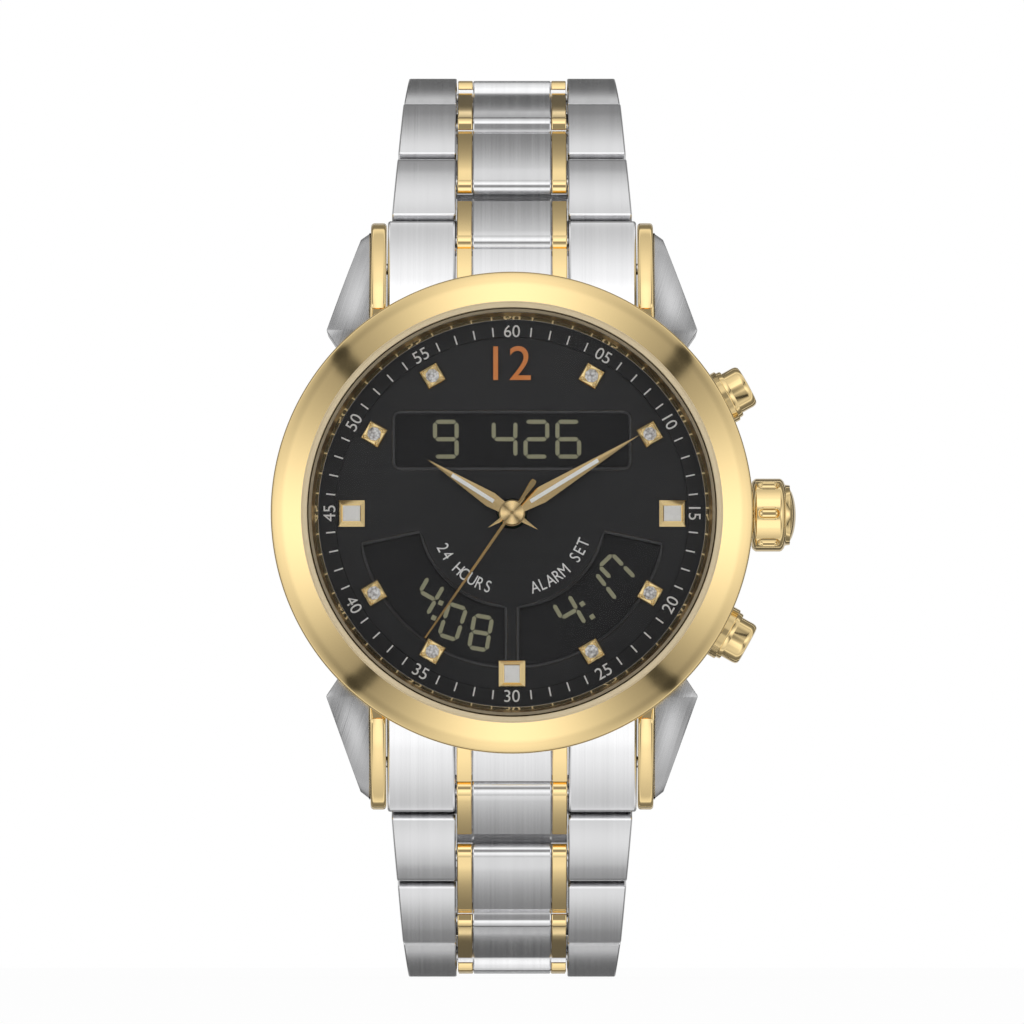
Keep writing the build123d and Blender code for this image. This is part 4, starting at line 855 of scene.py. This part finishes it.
bar_top = [(z, h) for z, h in bulged((bar_root, 8.9), (25.4, 4.25), 0.85, 22) if z > bar_fall]
side_view = ([(bar_root, bar_foot), (bar_root, barrel_front - 0.02), (17.85, barrel_front - 0.02)] + bar_top
             + [(25.75, 3.4), (25.35, 2.5), (24.55, bar_foot)])
bm = bmesh.new()
face = outline(bm, [(bar_inner_x, -h, z) for z, h in side_view])
thicken(bm, face, (bar_outer_x - bar_inner_x, 0, 0))
long_edges = [e for e in bm.edges if len(e.link_faces) == 2 and degrees(e.calc_face_angle(0)) > 60
              and abs(e.verts[0].co.x - e.verts[1].co.x) < 1e-6
              and min(e.verts[0].co.z, e.verts[1].co.z) > (bar_fall - 0.1) * mm]
round_edges(bm, bar_round, 5, chosen=long_edges)
mirrored(bm, across_z, across_x)
finished("gilt_lug_bars", bm, "case", gold, ["lug_bars"], smooth=50.0)


# ==================== Bracelet rows ====================
# Each row is a machined steel body, brushed lengthwise, with a barrelled outside.  Its
# middle is a tongue that swings in the row before, edged by two polished gilt strips.

half_thick, bulge, ease = 1.5, 0.12, 0.42
nose, case_nose, nose_clear, tail_clear = 2.3, 1.9, 0.15, 0.3
first_tongue_cut, first_tongue_fall = 1.25, 0.2
tongue_width, slot_width, strip_start, strip_deep = 4.85, 4.95, 3.5, 0.9
fit = 0.02                              # between a strip and the steel beside it
pin, pin_inset, mean_pitch = 0.5, 0.2, 8.0
overlap, bridge_reach = 0.05, slot_width + 0.1
pivots = {j["name"]: Vector(j["pos_m"]) for j in frame["joints"] if "pos_m" in j}
row_count = sum(name.startswith("hinge_12_") for name in pivots)


def arc_points(centre, radius, start, end, steps):
    """Points along an arc in a row's side view, angles in degrees from its own X."""
    return [(centre + radius * cos(radians(start + (end - start) * i / steps)),
             radius * sin(radians(start + (end - start) * i / steps))) for i in range(steps + 1)]


def crown_line(start, end, steps=10):
    """The barrelled outside between two ends, highest in the middle."""
    return [(start + (end - start) * i / steps,
             half_thick + bulge * (1 - (2 * i / steps - 1) ** 2)) for i in range(1, steps)]


def eased(before, here, after):
    """Points of a small bend round a corner of a side view."""
    return bent(Vector(before), Vector(here), Vector(after), 6)


def poured(bm, part):
    """Move everything of one mesh into another."""
    mesh = bpy.data.meshes.new("part")
    part.to_mesh(mesh)
    part.free()
    bm.from_mesh(mesh)
    bpy.data.meshes.remove(mesh)


def slab(bm, side, low, high, place, lean=0.0, bevel=0.14, segments=2):
    """A block with a side view, between two distances across the bracelet."""
    part = bmesh.new()
    for v in thicken(part, outline(part, [(t, n, low) for t, n in side]), (0, 0, high - low)):
        v.co.z -= lean * v.co.x
    round_edges(part, bevel, segments, 34)
    bmesh.ops.transform(part, matrix=place, verts=part.verts)
    bmesh.ops.recalc_face_normals(part, faces=part.faces)
    poured(bm, part)


def gilt_strips(side, place):
    """The strips along both edges of a tongue."""
    bm = bmesh.new()
    slab(bm, side, strip_start + fit, tongue_width - fit, place, bevel=0.08)
    mirrored(bm, across_x)
    return bm


def cross_pin(bm, reach, centre):
    """A pin across the bracelet, by half its length."""
    rod(bm, pin, 2 * reach, Matrix.Translation(centre) @ Matrix.Rotation(pi / 2, 4, "Y"))


def row_place(start, end):
    """Matrix of a row's own frame: X along it, Y out of the wrist, Z to the crown."""
    along = (end - start).normalized()
    across = Vector(across_x)
    return Matrix.Translation(start) @ Matrix((along, across.cross(along), across)).transposed().to_4x4()


def row_pieces(number):
    """Outer, middle and gilt meshes of one row of the upper half."""
    start = pivots[f"hinge_12_{number}"]
    end = pivots["clasp_pivot" if number == row_count else f"hinge_12_{number + 1}"].copy()
    end.z = abs(end.z)      # the clasp's own pivot is on the lower half
    place = row_place(start, end)
    pitch = (end - start).length / mm
    front_nose = case_nose if number == 1 else nose
    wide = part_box(f"link_12_{number}")[1].x / mm
    web = half_thick - strip_deep
    front_reach, back_reach = sqrt(front_nose**2 - half_thick**2), sqrt(nose**2 - half_thick**2)
    turn_in, turn_out = degrees(atan2(half_thick, front_reach)), degrees(atan2(half_thick, back_reach))
    web_turn = degrees(atan2(web, sqrt(front_nose**2 - web**2)))
    ease_in, ease_out = degrees(ease / front_nose), degrees(ease / nose)
    block_start, block_end = front_nose + nose_clear, pitch + back_reach
    tongue_start = -front_reach
    tongue_end = pitch - nose - tail_clear - (first_tongue_cut if number == 1 else 0)
    over_tongue = (eased(arc_points(0, front_nose, 180 - turn_in + ease_in, 0, 1)[0],
                         (tongue_start, half_thick), (tongue_start + ease, half_thick))
                   + [p for p in crown_line(tongue_start, tongue_end) if p[0] > tongue_start + 2 * ease]
                   + [(tongue_end, half_thick)])
    if number == 1:     # the short first tongue falls away towards its end
        length = tongue_end - tongue_start
        over_tongue = [(t, n if t < tongue_start + ease else
                        half_thick - first_tongue_fall * ((t - tongue_start) / length)**2)
                       for t, n in over_tongue]
    block = ([(block_start, -half_thick), (block_start, half_thick)]
             + [p for p in crown_line(block_start, block_end) if p[0] < block_end - 2 * ease]
             + eased((block_end - ease, half_thick), (block_end, half_thick),
                     arc_points(pitch, nose, turn_out - ease_out, 0, 1)[0])
             + arc_points(pitch, nose, turn_out - ease_out - 2, -turn_out, 10))
    nose_top = 180 - turn_in + ease_in + 2
    tongue = (arc_points(0, front_nose, 180 + turn_in, nose_top, 10) + over_tongue
              + [(tongue_end, -half_thick)])
    strip = arc_points(0, front_nose, 180 - web_turn, nose_top, 4) + over_tongue + [(tongue_end, web)]
    under = (arc_points(0, front_nose, 180 + turn_in, 180 - web_turn, 8)
             + [(tongue_end, web - fit), (tongue_end, -half_thick)])
    bridge = [(block_start + 0.3, -1.3), (tongue_end - 0.3, -1.3), (tongue_end - 0.3, 0.5),
              (block_start + 0.3, 0.5)]
    outer, middle = bmesh.new(), bmesh.new()
    slab(outer, block, slot_width, wide, place, taper)
    mirrored(outer, across_x)
    slab(middle, tongue, -strip_start + fit, strip_start - fit, place, bevel=0.12)
    for low, high in ((-tongue_width, -strip_start + overlap), (strip_start - overlap, tongue_width)):
        slab(middle, under, low, high, place, bevel=0.05, segments=1)
    slab(middle, bridge, -bridge_reach, bridge_reach, place, bevel=0.05, segments=1)
    if number < row_count:
        cross_pin(middle, wide - taper * pitch - pin_inset, end)
    return outer, middle, gilt_strips(strip, place)


taper = ((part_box("link_12_1")[1].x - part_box(f"link_12_{row_count}")[1].x) / mm
         / (mean_pitch * (row_count - 1)))
for half in ("12", "6"):
    for number in range(1, row_count + 1):
        outer, middle, gilt = row_pieces(number)
        if half == "6":
            for bm in (outer, middle, gilt):
                bmesh.ops.scale(bm, vec=(1, 1, -1), verts=bm.verts)
                bmesh.ops.reverse_faces(bm, faces=bm.faces)
        node, body = f"link_{half}_{number}", f"row_{half}_{number}"
        finished(body + "_outer", outer, body, row_steel, [node], smooth=12.0)
        finished(body + "_middle", middle, body, shaded_middle_steel, smooth=12.0)
        finished(body + "_gilt", gilt, body, gold, [node + "_trim"], smooth=12.0)


# ==================== End links ====================
# The end links are milled to hug the case under the bezel.  Their brushed tops carry on
# the line of the rows, and two gilt strips are let into them.

end_start = pivots["hinge_12_1"]
end_place = row_place(end_start, pivots["hinge_12_2"])
into_case = end_place.inverted()
end_half, end_foot, end_back = 10.9, 2.2, 17.2
spring_bar_half, spring_bar_height, spring_bar_z = 12.9, 4.5, 21.6


def beside_case(z, height):
    """A point of the side view by the case, in the end link's own frame, in millimetres."""
    local = into_case @ (Vector((0, -height, z)) * mm) / mm
    return (local.x, local.y)


end_reach = sqrt(case_nose**2 - half_thick**2)
end_turn = degrees(atan2(half_thick, end_reach))
inner_stop = -case_nose - nose_clear
end_lip = end_place @ (Vector((end_reach, half_thick, 0)) * mm) / mm
end_top = [beside_case(z, h) for z, h in bulged((16.0, 8.35), (end_lip.z, -end_lip.y), 0.82, 30)
           if z > end_back]
under_bezel = [beside_case(19.2, end_foot), beside_case(end_back, end_foot)]
outer_side = end_top + arc_points(0, case_nose, end_turn, -end_turn, 10)[1:] + under_bezel
middle_top = [point for point in end_top if point[0] < inner_stop - 0.1]
share = (inner_stop - middle_top[-1][0]) / (end_top[len(middle_top)][0] - middle_top[-1][0])
middle_top.append(tuple(Vector(middle_top[-1]).lerp(Vector(end_top[len(middle_top)]), share)))
strip_base = [(x, y - strip_deep) for x, y in middle_top]
inner_foot = [(inner_stop, -half_thick)] + under_bezel
bm = bmesh.new()
slab(bm, outer_side, slot_width, end_half, end_place, bevel=0.22)
mirrored(bm, across_x, across_z)
finished("end_link_outer", bm, "case", row_steel, ["end_links"], smooth=12.0)
bm = bmesh.new()
slab(bm, middle_top + inner_foot, -strip_start + fit, strip_start - fit, end_place, bevel=0.12)
slab(bm, strip_base + inner_foot, -bridge_reach, bridge_reach, end_place, bevel=0.05, segments=1)
cross_pin(bm, end_half - pin_inset, end_start)
cross_pin(bm, spring_bar_half, Vector((0, -spring_bar_height, spring_bar_z)) * mm)
mirrored(bm, across_z)
finished("end_link_middle", bm, "case", shaded_middle_steel, smooth=12.0)
bm = gilt_strips(middle_top + strip_base[::-1], end_place)
mirrored(bm, across_z)
finished("end_link_gilt", bm, "case", gold, ["end_link_trims"], smooth=12.0)


# ==================== Crown, pushers and their tubes ====================
# The gilt crown is turned, with seven round-ended flutes and a domed end, and hides its
# tube.  Each pusher is a turned plunger in a stepped collar.

control_height, pusher_angle = 4.9, 29.0


def lathe(bm, profile, angle, steps=96):
    """Spin a profile of (distance out, radius) points round a control's axis."""
    part = bmesh.new()
    spun(part, [(d, r, 0) for d, r in profile], across_x, steps, 2e-6)
    bmesh.ops.transform(part, verts=part.verts, matrix=Matrix.Translation((0, -control_height * mm, 0))
                        @ Matrix.Rotation(-radians(angle), 4, "Y"))
    poured(bm, part)


crown_radius, flute_deep, flute_half_width, flute_count = 3.2, 0.34, 0.44, 7
flute_start, flute_end = 21.5, 23.35
dome = [(24.85 - 0.95 * (1 - cos(radians(a))), 2.55 * sin(radians(a))) for a in (80, 65, 50, 35, 20, 8)]
crown_profile = ([(12.0, 0.0), (12.0, 0.8), (22.2, 0.8), (22.2, 1.65), (20.95, 1.65), (20.95, 2.75),
                  (21.02, 2.95), (21.25, 3.15)]
                 + [(21.35 + 0.05 * i, crown_radius) for i in range(43)]
                 + [(23.62, 3.12), (23.8, 2.92), (23.86, 2.72), (23.95, 2.66), (24.3, 2.62)]
                 + dome + [(24.85, 0.0)])
bm = bmesh.new()
lathe(bm, crown_profile, 0, 280)
for v in bm.verts:
    out = v.co.x / mm
    y, z = v.co.y + control_height * mm, v.co.z
    radius = sqrt(y * y + z * z)
    if radius > (crown_radius - 0.1) * mm:
        step = 2 * pi / flute_count
        across = ((atan2(z, -y) + step / 2) % step - step / 2) * crown_radius
        beyond = max(flute_start + flute_half_width - out, out - flute_end + flute_half_width, 0)
        far = sqrt(across * across + beyond * beyond) / flute_half_width
        if far < 1:
            depth = flute_deep * sqrt(1 - far ** 2.6) * mm
            v.co.y -= y / radius * depth
            v.co.z -= z / radius * depth
finished("fluted_crown", bm, "crown", gold, ["crown"], smooth=40.0)

plunger_profile = [(15.1, 0.0), (15.1, 0.6), (15.5, 0.6), (15.5, 0.95), (15.8, 0.95), (15.8, 0.6),
                   (20.6, 0.6), (20.6, 1.93), (23.1, 1.93), (23.35, 1.88), (23.52, 1.74), (23.58, 1.5),
                   (23.6, 1.0), (23.6, 0.0)]
crown_tube_profile = [(15.9, 0.85), (15.9, 1.5), (21.95, 1.5), (21.95, 0.85), (15.9, 0.85)]
collar_profile = [(15.9, 0.65), (15.9, 1.5), (18.6, 1.5), (18.6, 2.4), (21.52, 2.4), (21.58, 2.36),
                  (21.62, 2.22), (21.9, 2.20), (22.0, 2.14), (22.0, 1.99), (19.2, 1.99), (19.2, 0.65),
                  (15.9, 0.65)]
for angle, name in ((pusher_angle, "pusher_upper"), (-pusher_angle, "pusher_lower")):
    bm = bmesh.new()
    lathe(bm, plunger_profile, angle)
    finished(name + "_plunger", bm, name, gold, [name])
bm = bmesh.new()
lathe(bm, crown_tube_profile, 0)
for angle in (pusher_angle, -pusher_angle):
    lathe(bm, collar_profile, angle)
finished("gilt_tubes", bm, "case", gold, ["case_tubes"])


# ==================== Case back ====================
# A steel disc screws into the case: brushed in the middle, with a fine groove and six key
# notches in its rim.

def softened(node, name, body, material, width=0):
    """The node's own solid, joined up, with its sharp edges rounded where a width is given."""
    bm = bmesh.new()
    bm.from_mesh(nodes[node].data)
    bmesh.ops.remove_doubles(bm, verts=bm.verts, dist=2e-6)
    if width:
        bmesh.ops.dissolve_limit(bm, angle_limit=radians(1.0), verts=bm.verts, edges=bm.edges)
        round_edges(bm, width, 2, 40)
    finished(name, bm, body, material, [node], smooth=28.0)


back_steel = Material("brushed_back_steel", metallic=1.0).worn(
    (5200, 60, 60), 4.0, 0.28, 0.14, ((0.54, 0.54, 0.55), (0.70, 0.70, 0.71)), 0.6, 0.00001).made
softened("case_back", "steel_case_back", "case", back_steel)


# ==================== Folding clasp ====================
# The clasp is bent from steel strip: a brushed cover with two push buttons, and two thin
# leaves that fold flat under it.  The leaf in the middle and the buttons are polished.

softened("clasp_cover", "cover_plate", "cover", row_steel)
softened("clasp_middle_blade", "middle_leaf", "middle_blade", edge_steel)
softened("clasp_inner_blade", "inner_leaf", "inner_blade", row_steel)
for side in ("right", "left"):
    softened(f"clasp_button_{side}", f"button_cap_{side}", f"button_{side}", edge_steel, 0.05)


# ==================== Movement, seen only when the watch is opened ====================
# A moulded holder carries the circuit board with its coil, the cell and the stem's lever;
# a thin brass disc on the case back sounds the alarm.

moulding = Material("grey_moulding", specular_ior_level=0.4).worn(
    600, 3.0, 0.45, 0.15, ((0.48, 0.48, 0.46), (0.60, 0.60, 0.57)))
moulding.relief(moulding.noise(moulding.place(), 8000, 2.0), 0.000008)
dressed("movement_holder", moulding.made)
dressed("circuit_board", Material("green_board", specular_ior_level=0.4).worn(
    (3000, 3000, 600), 2.0, 0.3, 0.2, ((0.02, 0.10, 0.04), (0.04, 0.17, 0.07))).made)
dressed("piezo_disc", Material("thin_brass", metallic=1.0).worn(
    500, 4.0, 0.25, 0.2, ((0.62, 0.44, 0.18), (0.76, 0.56, 0.26))).made)
for node in ("battery", "setting_lever", "pusher_springs"):
    dressed(node, edge_steel)


# ==================== Floor ====================
# The watch stands on its bracelet on a wide white sheet, which the camera looks along.

bm = bmesh.new()
bmesh.ops.create_grid(bm, x_segments=1, y_segments=1, size=1.5,
                      matrix=Matrix.Translation((0, 0, cad_box[0].z)))
floor = shown("floor", bm)
paper = Material("white_paper", specular_ior_level=0.1).worn(
    400, 3.0, 0.85, 0.1, ((0.91, 0.91, 0.91), (0.94, 0.94, 0.94)))
lit = paper.node("ShaderNodeEmission", None, {"Color": (1, 1, 1, 1), "Strength": 1.0})
clear = paper.node("ShaderNodeBsdfTransparent")
seen = paper.ray("Camera") + paper.ray("Transmission")
sheet = paper.node("ShaderNodeMixShader", None,
                   {0: seen * 0.93, 1: Signal(paper, paper.shader.outputs[0]), 2: lit})
sheet = paper.node("ShaderNodeMixShader", None, {0: paper.ray("Glossy"), 1: sheet, 2: clear})
paper.tree.links.new(sheet.socket, paper.tree.nodes["Material Output"].inputs["Surface"])
floor.data.materials.append(paper.made)
